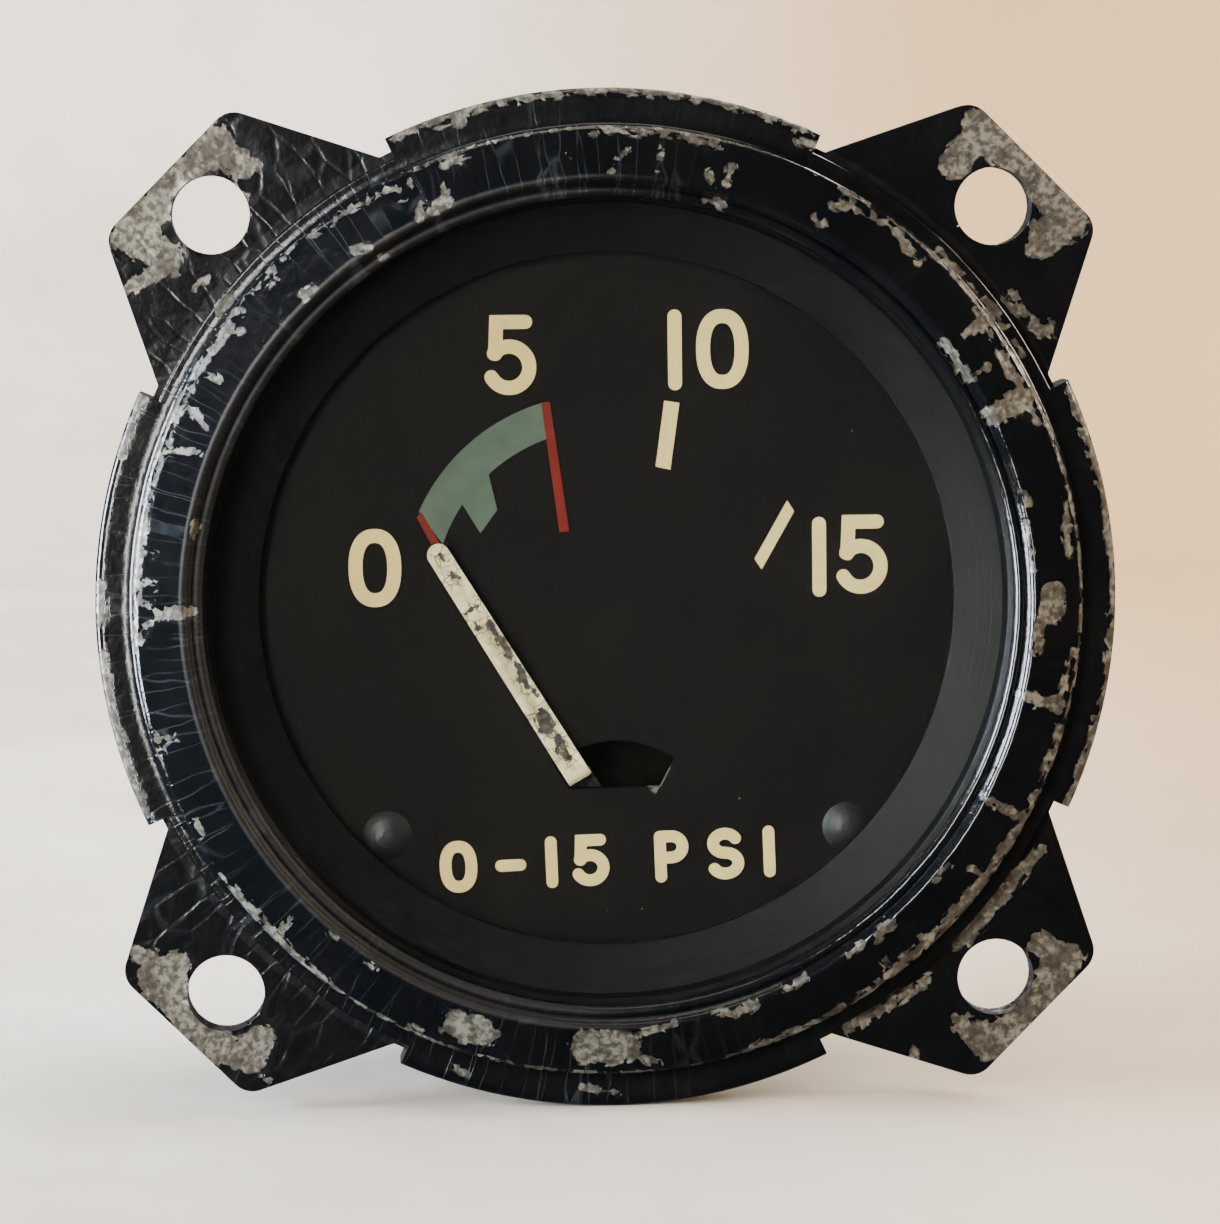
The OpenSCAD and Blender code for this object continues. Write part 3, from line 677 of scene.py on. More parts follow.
@dataclass(frozen=True)
class MatteLacquer:
    """Sprayed matte black lacquer on the dial: brown-black, with a fine grain and dust specks.

    The cut edge of the dial's sheet is a little bare. At the slot's right end a bare strip on the front and
    a barer cut edge are partly wear and partly a painted highlight of the light on that edge.
    """

    name: str = "matte_dial_lacquer"
    black: str = "#0d0a08"
    brown: str = "#120e0b"
    dust: str = "#8f876f"
    bare_metal_and_glint: str = "#62645a"
    speck_spacing: float = 2.2
    speck_size: float = 0.045
    # A point on the slot's right end, the direction square to it, and the width and length of the bare strip
    # there, which is partly wear and partly a painted highlight
    slot_end: tuple[float, float, float] = (3.24, 0.0, -11.2)
    slot_side: tuple[float, float, float] = (0.884, 0.0, -0.468)
    worn: Point = (0.1, 0.75)
    # The dial's front lies at Y 0, so its cut edge starts between these places behind it
    cut_from: Point = (0.03, 0.06)
    # Share of bare metal on the cut edge: added near the slot's end, where it is partly a painted highlight,
    # and elsewhere
    cut_bare: Point = (0.9, 0.06)
    rough: Point = (0.5, 0.68)
    # Width and height of the grain, and height of a speck
    grain: Point = (0.16, 0.006)
    speck_high: float = 0.02

    def build(self) -> bpy.types.Material:
        """Builds the material."""
        f = Finish(self.name)
        spot = f.add(Kind.CELL, {"Vector": f.place, "Scale": 1 / self.speck_spacing})
        size = f.add(Kind.NOISE, {"Vector": f.place, "Scale": 1 / 1.7})
        size = f.add(Kind.TIMES, {0: size, 1: self.speck_size})
        gap = f.summed(size, (spot, -1.0))
        speck = f.add(Kind.STEP, {"Value": gap, "From Min": -0.004, "From Max": 0.004})
        few = f.add(Kind.TIMES, {0: speck, 1: f.patches(3.3, 2.0, 0.44, 0.5)})
        tone = f.patches(9.0, 3.0, 0.35, 0.7)
        colour = f.add(Kind.BLEND, {0: tone, 6: self.black, 7: self.brown})
        colour = f.add(Kind.BLEND, {0: few, 6: colour, 7: self.dust})
        # At the slot's right end the bare metal is partly wear and partly a painted highlight
        bare = self.worn_and_glinting_edge(f)
        colour = f.add(Kind.BLEND, {0: bare, 6: colour, 7: self.bare_metal_and_glint})
        grain = f.add(Kind.NOISE, {"Vector": f.place, "Scale": 1 / self.grain[0]})
        relief = f.summed(f.add(Kind.TIMES, {0: few, 1: self.speck_high}), (grain, self.grain[1]))
        smears = f.add(Kind.NOISE, {"Vector": f.place, "Scale": 1 / 4.0, "Detail": 3.0})
        rough = f.summed(self.rough[0], (smears, self.rough[1] - self.rough[0]))
        return f.close(colour, rough, relief, Specular_IOR_Level=0.08)

    def worn_and_glinting_edge(self, f: Finish) -> Socket:
        """The share of bare metal: a little on the sheet's cut edge, and most at the slot's right end, where
        it is partly wear and partly a painted highlight.

        Args:
            f: The finish that it is for.

        Returns:
            A socket from 0 to 1.
        """
        wide, reach = self.worn
        away = f.add(Kind.STRETCH_PLUS, {0: f.place, 1: FLAT, 2: tuple(-c for c in self.slot_end)})
        aside = f.add(Kind.DOT, {0: away, 1: self.slot_side})
        worn = f.add(Kind.STEP, FALLING | {"Value": aside, "From Min": wide - 0.05, "From Max": wide})
        near = {"Value": f.add(Kind.LENGTH, {0: away}), "From Min": reach, "From Max": reach + 0.3}
        near = f.add(Kind.STEP, FALLING | near)
        patchy = f.add(Kind.TIMES, {0: near, 1: f.patches(0.5, 2.0, 0.3, 0.45)})
        worn = f.add(Kind.TIMES, {0: worn, 1: patchy})
        cut = {"Value": f.add(Kind.Y, {0: f.place}), "From Min": self.cut_from[0]}
        cut = f.add(Kind.STEP, cut | {"From Max": self.cut_from[1]})
        share = f.summed(self.cut_bare[1], (near, self.cut_bare[0]))
        cut = f.add(Kind.TIMES, {0: cut, 1: share})
        return f.add(Kind.STEP, {"Value": f.add(Kind.PLUS, {0: worn, 1: cut}), "From Max": 1.0})


@dataclass(frozen=True)
class PrintedPaint:
    """Screen-printed enamel on the dial: flat, slightly uneven in tone, with pinholes."""

    name: str
    colour: str
    shade: str
    rough: float = 0.55
    # Width of the ink's lumps, and height of the lumps and pinholes
    lump: float = 0.3
    high: float = 0.01

    def build(self) -> bpy.types.Material:
        """Builds the material."""
        f = Finish(self.name)
        tone = f.patches(1.3, 3.0, 0.3, 0.75)
        colour = f.add(Kind.BLEND, {0: tone, 6: self.colour, 7: self.shade})
        holes = f.patches(0.14, 1.0, 0.2, 0.27)
        skin = f.add(Kind.NOISE, {"Vector": f.place, "Scale": 1 / self.lump})
        relief = f.add(Kind.TIMES, {0: f.add(Kind.PLUS, {0: skin, 1: holes}), 1: self.high})
        return f.close(colour, self.rough, relief, Specular_IOR_Level=0.2)


@dataclass(frozen=True)
class FlakingPaint:
    """Old cream paint on the brass pointer: cracked, yellowed, and flaked down to a dark ground."""

    name: str = "flaking_cream_paint"
    cream: str = "#decc9c"
    cream_dull: str = "#c4b384"
    tan: str = "#a08e66"
    ground: str = "#191812"
    brown: str = "#4b3c28"
    # Paint breaks off in angular flakes of this size, each with its own reach
    chip: float = 0.34
    chip_reach: float = 0.3
    ragged: float = 0.26
    fine: float = 0.12
    paint_thick: float = 0.05
    rough: Point = (0.42, 0.62)
    # Width and height of the brushed paint's lumps and of its grit
    lump: Point = (0.5, 0.02)
    grit: Point = (0.15, 0.015)
    # Half the width of a flake's outline, and where its brown rim lies outside it
    outline: float = 0.012
    rim_band: Point = (0.13, 0.02)
    # Cracks: width of a cell, share of it that the crack takes, strength and depth
    crack_cell: float = 0.75
    crack_wide: float = 0.06
    crack_dark: float = 0.9
    crack_deep: float = 0.02
    # They fade out between these distances outside a flake
    crack_near: Point = (-0.8, -0.25)

    def build(self) -> bpy.types.Material:
        """Builds the material, which reads the stored depths inside a flake and inside a stain."""
        f = Finish(self.name)
        lumps = f.add(Kind.NOISE, {"Vector": f.place, "Scale": 1 / self.lump[0], "Detail": 3.0})
        grit = f.add(Kind.NOISE, {"Vector": f.place, "Scale": 1 / self.grit[0], "Detail": 2.0})
        flake = f.add(Kind.STORED, attribute_name="flake")
        stain = f.add(Kind.STORED, attribute_name="stain")
        shade = f.add(Kind.X, {0: f.add(Kind.CELL_SHADE, {"Vector": f.place, "Scale": 1 / self.chip})})
        depth = f.summed(flake, (shade, self.chip_reach), (lumps, self.ragged), (grit, self.fine))
        edge = (self.chip_reach + self.ragged + self.fine) / 2
        gone = {"Value": depth, "From Min": edge - self.outline, "From Max": edge + self.outline}
        gone = f.add(Kind.STEP, gone)
        far, close = self.rim_band
        rim = f.add(Kind.STEP, {"Value": depth, "From Min": edge - far, "From Max": edge - close})
        warp = f.add(Kind.WARP, {"Vector": f.place, "Scale": 1 / 0.4, "Detail": 1.0})
        bent = f.add(Kind.STRETCH_PLUS, {0: warp, 1: (0.3, 0.3, 0.3), 2: f.place})
        cell = f.add(Kind.CELL_EDGE, {"Vector": bent, "Scale": 1 / self.crack_cell})
        crack = {"Value": cell, "From Max": self.crack_wide, "To Min": self.crack_dark, "To Max": 0.0}
        near = {"Value": flake, "From Min": self.crack_near[0], "From Max": self.crack_near[1]}
        crack = f.add(Kind.TIMES, {0: f.add(Kind.STEP, crack), 1: f.add(Kind.STEP, near)})
        soak = f.summed(stain, (lumps, 0.6))
        soak = f.add(Kind.STEP, {"Value": soak, "From Min": 0.12, "From Max": 0.5})
        cloud = f.patches(0.7, 3.0, 0.35, 0.65)
        top = f.add(Kind.BLEND, {0: cloud, 6: self.cream, 7: self.cream_dull})
        top = f.add(Kind.BLEND, {0: f.add(Kind.TIMES, {0: soak, 1: 0.75}), 6: top, 7: self.tan})
        top = f.add(Kind.BLEND, {0: f.add(Kind.TIMES, {0: rim, 1: 0.5}), 6: top, 7: self.brown})
        top = f.add(Kind.BLEND, {0: crack, 6: top, 7: self.brown})
        below = f.patches(0.35, 2.0, 0.48, 0.66)
        below = f.add(Kind.BLEND, {0: below, 6: self.ground, 7: self.brown})
        colour = f.add(Kind.BLEND, {0: gone, 6: top, 7: below})
        relief = f.add(Kind.TIMES, {0: gone, 1: -self.paint_thick})
        relief = f.summed(relief, (grit, self.grit[1]), (lumps, self.lump[1]), (crack, -self.crack_deep))
        rough = f.summed(self.rough[0], (lumps, self.rough[1] - self.rough[0]))
        return f.close(colour, rough, relief)


@dataclass(frozen=True)
class DrawnGlass:
    """Clear drawn glass, 1.3 mm thick: sharp soft reflections and almost no tint.

    Rays from lamps pass straight through, so that the dial under it is lit.
    """

    name: str = "clear_cover_glass"
    # Width of the smears, and how rough they are
    smear: float = 11.0
    smear_rough: float = 0.06
    refraction: float = 1.5

    def build(self) -> bpy.types.Material:
        """Builds the material."""
        f = Finish(self.name)
        smear = f.add(Kind.NOISE, {"Vector": f.place, "Scale": 1 / self.smear, "Detail": 3.0})
        rough = {"Value": smear, "From Min": 0.45, "From Max": 0.8, "To Max": self.smear_rough}
        inputs = {"Base Color": "#f7faf9", "Roughness": f.add(Kind.STEP, rough), "IOR": self.refraction}
        glass = f.add(Kind.SURFACE, inputs | {"Transmission Weight": 1.0})
        clear = f.add(Kind.CLEAR, {"Color": "#f2f5f4"})
        f.add(Kind.OUTPUT, {0: f.add(Kind.EITHER, {0: f.add(Kind.LAMP_RAY), 1: glass, 2: clear})})
        return f.material


class Grain(Enum):
    """How a metal surface was made, as the stretch of its fine lines along X, Y and Z."""

    TURNED = (1.0, 14.0, 1.0)
    ROLLED = (0.08, 1.0, 1.0)
    DRAWN = (1.0, 0.1, 1.0)


@dataclass(frozen=True)
class WorkedMetal:
    """Bare metal with tool lines and tarnish: the lines spread its highlight along the cut.

    The lines stand 0.12 mm apart, which is coarser than a tool's feed, so that they show.
    """

    name: str
    bright: str
    tarnish: str
    grain: Grain
    rough: Point
    # Width of a tool line, how much rougher it is and its height
    line: float = 0.12
    line_rough: float = 0.08
    line_high: float = 0.008

    def build(self) -> bpy.types.Material:
        """Builds the material."""
        f = Finish(self.name)
        stretched = f.add(Kind.STRETCH, {0: f.place, 1: self.grain.value})
        lines = f.add(Kind.NOISE, {"Vector": stretched, "Scale": 1 / self.line})
        spots = f.patches(2.2, 4.0, 0.42, 0.72)
        colour = f.add(Kind.BLEND, {0: spots, 6: self.bright, 7: self.tarnish})
        rough = f.summed(self.rough[0], (spots, self.rough[1] - self.rough[0]), (lines, self.line_rough))
        return f.close(colour, rough, f.add(Kind.TIMES, {0: lines, 1: self.line_high}), Metallic=1.0)


@dataclass(frozen=True)
class Elastomer:
    """Moulded black rubber or pressed fibre: dull, with a faint bloom."""

    name: str
    colour: str
    bloom: str
    grain: float
    rough: float
    high: float = 0.02

    def build(self) -> bpy.types.Material:
        """Builds the material."""
        f = Finish(self.name)
        bloom = f.patches(1.6, 4.0, 0.4, 0.75)
        colour = f.add(Kind.BLEND, {0: bloom, 6: self.colour, 7: self.bloom})
        grain = f.add(Kind.NOISE, {"Vector": f.place, "Scale": 1 / self.grain, "Detail": 3.0})
        return f.close(colour, self.rough, f.add(Kind.TIMES, {0: grain, 1: self.high}))


@dataclass(frozen=True)
class SpunSatin:
    """Satin black on the spun cone under the glass: fine rings, and dust that greys it."""

    name: str = "satin_black_spinning"
    black: str = "#080807"
    grey: str = "#161412"
    rough: Point = (0.4, 0.56)
    dust_cover: float = 0.5
    # Width and height of the spinning's rings and of the paint's grain
    ring: Point = (0.2, 0.012)
    grain: Point = (0.2, 0.004)

    def build(self) -> bpy.types.Material:
        """Builds the material."""
        f = Finish(self.name)
        rings = f.add(Kind.NOISE_1D, {"W": f.radius(), "Scale": 1 / self.ring[0], "Detail": 3.0})
        dust = f.patches(0.6, 4.0, 0.45, 0.8)
        shown = f.add(Kind.TIMES, {0: dust, 1: self.dust_cover})
        colour = f.add(Kind.BLEND, {0: shown, 6: self.black, 7: self.grey})
        grain = f.add(Kind.NOISE, {"Vector": f.place, "Scale": 1 / self.grain[0]})
        relief = f.summed(f.add(Kind.TIMES, {0: grain, 1: self.grain[1]}), (rings, self.ring[1]))
        rough = f.summed(self.rough[0], (dust, self.rough[1] - self.rough[0]))
        return f.close(colour, rough, relief, Specular_IOR_Level=0.14)


@dataclass(frozen=True)
class CreasedPaper:
    """White wrapping paper that the gauge stands on: matte and faintly creased, with a painted warm shade
    towards the right.
    """

    name: str = "white_paper"
    white: str = "#e1dfd8"
    grey: str = "#cdc9c0"
    painted_warm_shade: str = "#bd9f76"
    # Painted warm shade: the sheet turns darker and warmer between these places across it, towards the right
    warm_shade_from: Point = (-30.0, 100.0)
    rough: float = 0.85
    # Width and height of the creases
    crease: Point = (38.0, 1.2)

    def build(self) -> bpy.types.Material:
        """Builds the material."""
        f = Finish(self.name)
        folds = f.add(Kind.NOISE, {"Vector": f.place, "Scale": 1 / self.crease[0], "Detail": 4.0})
        worn = f.add(Kind.STEP, {"Value": folds, "From Min": 0.3, "From Max": 0.75})
        colour = f.add(Kind.BLEND, {0: worn, 6: self.white, 7: self.grey})
        near, far = self.warm_shade_from
        # Painted warm shade, darker and warmer towards the right
        aged = {"Value": f.add(Kind.X, {0: f.place}), "From Min": near, "From Max": far}
        colour = f.add(Kind.BLEND, {0: f.add(Kind.STEP, aged), 6: colour, 7: self.painted_warm_shade})
        relief = f.add(Kind.TIMES, {0: folds, 1: self.crease[1]})
        return f.close(colour, self.rough, relief, Specular_IOR_Level=0.2)


class Stock(Enum):
    """The finishes of the gauge, one for each material slot of the record or paint on it."""

    ENAMEL = StovedEnamel()
    # Its lighter crazing lines on the left, lit side are a painted glint, as on the bezel
    CRACKLED = StovedEnamel(
        "crackled_black_enamel", craze_glint_grey="#12161a", plating="#807e74", craze_across=1.2, craze_along=3.2,
        craze_wide=0.12, craze_deep=0.022, rough=(0.16, 0.28),
    )
    CASE = PlainEnamel("satin_case_enamel")
    SPINNING = SpunSatin()
    LACQUER = MatteLacquer()
    # Near-black brass for the front plate, seen only through the slot: painted shade of the closed case's
    # inside
    BLACKENED = WorkedMetal("brass_darkened_as_shade", "#1a1713", "#0d0c0b", Grain.ROLLED, (0.45, 0.6))
    CREAM = PrintedPaint("cream_print", "#d9bf7a", "#cfb370")
    GREEN = PrintedPaint("sage_print", "#4b5749", "#424e41")
    RED = PrintedPaint("brick_red_print", "#651002", "#580d02")
    FLAKING = FlakingPaint()
    GLASS = DrawnGlass()
    RUBBER = Elastomer("moulded_rubber", "#141414", "#242321", 0.25, 0.7)
    FIBRE = Elastomer("red_brown_fibre", "#3d2a1e", "#52392a", 0.4, 0.62)
    BRASS = WorkedMetal("turned_brass", "#a88d52", "#66522f", Grain.TURNED, (0.32, 0.55))
    SHEET_BRASS = WorkedMetal("rolled_brass_sheet", "#a68b53", "#6b5736", Grain.ROLLED, (0.32, 0.52))
    BRONZE = WorkedMetal("drawn_phosphor_bronze", "#b57f4a", "#7a5535", Grain.DRAWN, (0.28, 0.46))
    STEEL = WorkedMetal("turned_steel", "#a3a5a7", "#6f6e6a", Grain.TURNED, (0.28, 0.46))
    BLUED = WorkedMetal("blued_steel", "#1d2026", "#15130f", Grain.TURNED, (0.34, 0.5))

    def material(self) -> bpy.types.Material:
        """The finish's material, made the first time that it is asked for."""
        return bpy.data.materials.get(self.value.name) or self.value.build()


def dress_nodes(stock: Stock, *nodes: str) -> None:
    """Gives construction nodes one finish, and reports each."""
    for name in nodes:
        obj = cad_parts[name]
        for slot in obj.material_slots:
            slot.material = stock.material()
        if not obj.material_slots:
            obj.data.materials.append(stock.material())
        LOG.info("node %s in %s", name, stock.value.name)


def hand_over(
    obj: bpy.types.Object, stock: Stock, body: str, slot: str | None, *stands_for: str
) -> None:
    """Gives a new piece its finish, ties it to its body and reports it.

    Args:
        obj: The piece.
        stock: Its finish.
        body: The body that it moves with.
        slot: The record's material slot, or None where none fits. Not used.
        stands_for: Construction nodes that it replaces.
    """
    obj.data.materials.append(stock.material())
    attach(obj, body)
    if stands_for:
        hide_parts(*stands_for)
    LOG.info("piece %s on %s, %d faces", obj.name, body, len(obj.data.polygons))


@dataclass
class Bezel:
    """Pressed bezel with a rolled lip and four tabs folded over the flange."""

    ears_front: float = -2.0
    base_r: float = 29.66
    base_low: float = 0.4
    base_high: float = 1.1
    base_round: float = 0.2
    wall_r: float = 28.65
    foot_round: float = 0.3
    inner_r: float = 27.95
    inner_corner: Point = (0.2, 0.15)
    sheet: float = 0.7
    shoulder: Point = (28.1, 2.05)
    shoulder_round: float = 0.55
    crest: Point = (25.6, 3.35)
    crest_round: float = 0.35
    bead: Point = (24.75, 2.65)
    bead_round: float = 0.35
    # The lip's underside, from the bead to the crest
    lip_under: tuple[Point, ...] = ((25.1, 2.3), (25.45, 2.9))
    fold_r: float = 30.9
    fold_wall: float = 0.75
    fold_in: float = 28.9
    fold_back: float = -1.95
    # Rounding of a tab's edge behind the flange and before it
    fold_rounds: Point = (0.5, 0.45)
    # A tab reaches this many degrees to both sides of its middle
    fold_half: float = 25.0
    # Longest step along the section in millimetres, and step round it in degrees
    pitch: float = 0.2
    step: float = 0.5
    edge_points: int = 44
    # Depth of sound paint, to which wear is added
    sound: float = -0.62
    # Ridges that wear first: radius and width of the shoulder's and of the crest's, and the crest's wear
    shoulder_ridge: Point = (28.5, 0.27)
    crest_ridge: Point = (25.5, 0.2)
    crest_wear: float = 0.2
    # The shoulder's wear fades out between these heights on the wall
    wear_above: Point = (1.4, 1.8)
    # The tabs' outer edge wears from the first of these radii to the second
    rim: Point = (30.5, 30.88)
    rim_wear: float = 0.42
    # Uneven sheet: height and width of round swells, and height, width and length of those that run out
    swell: Point = (0.022, 2.4)
    ripple: tuple[float, float, float] = (0.012, 0.9, 2.6)
    # The bead inside this radius is left even
    even_to: float = 24.6
    # How far the shoulder is worn bare, by the angle clockwise from the top
    shoulder_wear: tuple[Point, ...] = (
        (0, 0.68), (14, 0.66), (17, 0.38), (27, 0.4), (31, 0.72), (60, 0.82), (110, 0.8), (163, 0.8),
        (168, 0.5), (180, 0.6), (186, 0.72), (214, 0.7), (218, 0.86), (235, 0.82), (239, 0.45),
        (250, 0.42), (253, 0.8), (255, 0.46), (263, 0.5), (267, 0.82), (285, 0.84), (287, 0.6),
        (289, 0.86), (298, 0.86), (303, 0.62), (318, 0.68), (322, 0.56), (345, 0.64), (352, 0.55),
        (360, 0.68),
    )
    # Bare strokes seen on the front: angle clockwise from the top and radius of each end, and width
    strokes: tuple[Stroke, ...] = (
        (0, 28.4, 14, 28.2, 0.45), (2.5, 27.1, 0.4, 25.9, 0.3), (7.3, 27.5, 6.6, 26.1, 0.22),
        (13.4, 26.4, 14.2, 25.9, 0.4), (16, 27.0, 15.9, 26.2, 0.5), (13.6, 24.8, 16.6, 24.8, 0.45),
        (28.4, 26.1, 29.6, 26.0, 0.45), (29.4, 27.3, 31, 27.5, 0.3), (30.5, 27.8, 34, 27.9, 0.35),
        (34, 27.9, 37.5, 28.2, 0.3), (38, 28.1, 42.5, 27.6, 0.7), (51.5, 28.1, 55.5, 28.0, 0.45),
        (53.3, 27.9, 53.4, 26.7, 0.7), (52.4, 25.3, 58.2, 25.3, 0.55), (58.3, 25.4, 58.3, 26.7, 0.4),
        (57.5, 27.9, 61, 27.8, 0.5), (44, 29.0, 60, 29.1, 0.4), (61.5, 28.0, 67.5, 27.9, 0.6),
        (64.2, 27.8, 64.3, 25.7, 1.5), (78, 28.0, 82, 27.9, 0.3), (81.4, 27.8, 84.4, 27.8, 0.5),
        (75.3, 25.7, 77.2, 25.8, 0.3), (79.5, 25.4, 86, 25.4, 0.25), (89.6, 26.6, 91.6, 26.5, 1.8),
        (93, 25.9, 97, 25.8, 0.7), (96.5, 28.1, 103.5, 27.8, 0.6), (103.4, 27.9, 103.4, 25.6, 1.0),
        (106, 28.2, 120, 28.2, 0.35), (118.3, 28.2, 118.3, 25.5, 0.6), (120, 28.2, 144, 28.2, 0.7),
        (126.9, 28, 127.1, 27.2, 0.5), (137.4, 28, 137.6, 27.6, 0.6), (143.3, 28, 143.3, 27.3, 0.5),
        (127.6, 25.7, 131, 25.7, 0.35), (139.2, 25.6, 142.3, 25.8, 0.6), (143.5, 25.5, 146, 25.5, 0.35),
        (146.6, 25.6, 148.4, 25.6, 0.3), (145, 28.3, 163, 28.3, 0.3), (153.4, 25.5, 156.4, 25.5, 0.35),
        (161.2, 25.7, 164, 25.8, 0.6), (165, 25.6, 166.4, 25.6, 0.35), (175, 28, 176.5, 27.7, 0.4),
        (172.4, 25.6, 178, 26.0, 0.5), (177.6, 26.6, 181, 27.6, 0.9), (179.6, 26.8, 183.6, 26.8, 2.4),
        (197.6, 27.0, 200.8, 27.0, 2.1), (204.6, 28.2, 206, 28.1, 0.3), (212.8, 27.8, 213.2, 27.8, 0.35),
        (214, 26.0, 215.5, 26.0, 0.35), (218, 28.4, 225, 28.3, 0.35), (226.3, 28.3, 226.4, 26.8, 0.3),
        (225, 28.3, 234, 28.4, 0.5), (220.6, 25.9, 221.6, 25.9, 0.35), (241.6, 28.2, 243, 28.1, 0.4),
        (252.6, 28.3, 255, 28.3, 0.35), (254.2, 28.2, 254.3, 27.0, 0.35), (266.6, 28.4, 268.8, 27.5, 0.5),
        (269.9, 26.9, 270.1, 25.0, 0.75), (271.6, 28.2, 271, 27.4, 0.4), (274.4, 28.2, 273.4, 27.3, 0.45),
        (277.4, 27.9, 277.4, 27.5, 0.5), (280.9, 25.2, 282.2, 25.2, 0.7), (272, 28.3, 294, 28.2, 0.4),
        (290, 28.0, 291.3, 26.3, 0.45), (296.4, 27.9, 294.6, 26.3, 0.55), (294, 28.2, 309, 28.2, 0.5),
        (300.8, 28.1, 300.8, 26.8, 0.3), (306.4, 28.1, 307.4, 27.4, 0.4), (307.6, 29.3, 309.4, 29.3, 0.6),
        (312.5, 28.4, 317.6, 28.4, 0.3), (313.6, 27.8, 314.7, 27.8, 0.35), (316.1, 26.0, 317.6, 25.9, 0.5),
        (324.6, 26.1, 326.6, 25.8, 0.45), (327.1, 24.8, 328.4, 24.8, 0.3), (321.8, 28.3, 332.5, 28.1, 0.22),
        (333.2, 27.9, 333.4, 27.3, 0.5), (335.3, 28, 336, 27.1, 0.25), (334.2, 25.7, 336, 26.4, 0.35),
        (336.4, 25.9, 338.4, 25.9, 0.75), (338.4, 25.9, 339.4, 26.8, 0.35), (339.8, 28, 343.8, 28, 0.3),
        (355.0, 26.1, 355.6, 27.4, 0.15), (358.1, 28.2, 359.1, 28.2, 0.4), (23.2, 30.1, 24.6, 30.1, 0.6),
        (340.8, 30.2, 343.4, 30.2, 0.5), (180, 29.9, 183.8, 29.7, 0.4), (197.6, 30, 199.4, 30, 0.4),
        (269, 30.5, 273, 30.6, 0.7), (288, 30.6, 296, 30.6, 0.6), (246, 30.7, 265, 30.7, 0.7),
        (66, 30.7, 116, 30.7, 0.55), (-24, 30.7, 24, 30.7, 0.5),
    )

    @property
    def seam(self) -> Point:
        """Where the edge's path ends on top of the base and the front's begins."""
        return self.base_r - 0.5, self.base_high + 0.01

    def fold_path(self, folded: bool) -> np.ndarray:
        """The outer edge of the base, from its underside to its top.

        Args:
            folded: True inside a tab, where the sheet runs out and back behind the flange.

        Returns:
            Evenly spaced points as radius and height.
        """
        low, high = self.base_low, self.base_high
        if not folded:
            r = self.base_round
            path = [(self.seam[0], low), (self.base_r, low)]
            path += arc((self.base_r - r, high - r), r, 0, 85, 5)
            return resampled([*path, self.seam], self.edge_points)
        wall, (behind, before) = self.fold_r - self.fold_wall, self.fold_rounds
        path = [(self.seam[0], low), (wall, low), (wall, self.fold_back + self.sheet)]
        path += [(self.fold_in, self.fold_back + self.sheet), (self.fold_in, self.fold_back)]
        path += arc((self.fold_r - behind, self.fold_back + behind), behind, 270, 360, 6)
        path += arc((self.fold_r - before, high - before), before, 0, 90, 6)
        return resampled([*path, self.seam], self.edge_points)

    def front_path(self) -> np.ndarray:
        """The rest of the section, from the base's top over the crest and back along the inside."""
        fall = self.crest[1] + self.crest_round - self.shoulder[1] - self.shoulder_round
        tilt = math.atan(fall / (self.shoulder[0] - self.crest[0]))
        face = self.shoulder[1] + self.shoulder_round * math.cos(tilt)
        face_r = self.shoulder[0] + self.shoulder_round * math.sin(tilt)
        under = face - self.sheet / math.cos(tilt) + (face_r - self.inner_r) * math.tan(tilt)
        aside, down = self.inner_corner
        foot = (self.wall_r + self.foot_round, self.base_high + self.foot_round + 0.07)
        square = 90 - math.degrees(tilt)
        path = [self.seam, *arc(foot, self.foot_round, 250, 180, 5)]
        path += arc(self.shoulder, self.shoulder_round, 0, square, 10)
        path += arc(self.crest, self.crest_round, square, 200, 12)
        path += [*arc(self.bead, self.bead_round, 40, 270, 16), *self.lip_under]
        path += [(self.inner_r - aside, under + aside * math.tan(tilt)), (self.inner_r, under - down)]
        path += [(self.inner_r, self.base_low), (self.seam[0], self.base_low)]
        return densified(path, self.pitch)

    def rings(self) -> list[tuple[float, bool]]:
        """Angle of each ring of corners, and whether it is in a tab. A tab's two sides have both."""
        rings = []
        for n in range(int(360 / self.step)):
            angle = n * self.step
            off = (angle + 45) % 90 - 45
            if math.isclose(abs(off), self.fold_half):
                rings += [(angle, off > 0), (angle, off < 0)]
            else:
                rings.append((angle, abs(off) < self.fold_half))
        return rings

    def build(self) -> None:
        """Builds the bezel with its wear and hands it over."""
        front, rings = self.front_path()[:-1], self.rings()
        sections = {tab: np.concatenate([self.fold_path(tab)[:-1], front]) for tab in (True, False)}
        points = []
        for angle, folded in rings:
            s, c = math.sin(math.radians(angle)), math.cos(math.radians(angle))
            points += [(r * s, self.ears_front - h, r * c) for r, h in sections[folded]]
        obj = from_faces("crimped_bezel", points, loft_faces(len(rings), len(sections[True]), True), 38)
        self.weather(obj)
        hand_over(obj, Stock.ENAMEL, "case", "enamelled_bezel", "bezel_ring")

    def chips(self, angle: np.ndarray, radius: np.ndarray) -> np.ndarray:
        """How deep corners lie inside the bare strokes.

        Args:
            angle: Degrees clockwise from the top.
            radius: Distance from the axis.

        Returns:
            Millimetres inside the nearest edge, and less than 0 outside.
        """
        depth = np.full(len(angle), -math.inf)
        for a0, r0, a1, r1, width in self.strokes:
            off = (angle - (a0 + a1) / 2 + 180) % 360 - 180
            near = np.stack([np.radians(off) * BEZEL_RADIUS, radius], 1)
            half = math.radians((a1 - a0) / 2) * BEZEL_RADIUS
            depth = np.maximum(depth, stroke_depth(near, [(-half, r0, half, r1, width)]))
        return depth

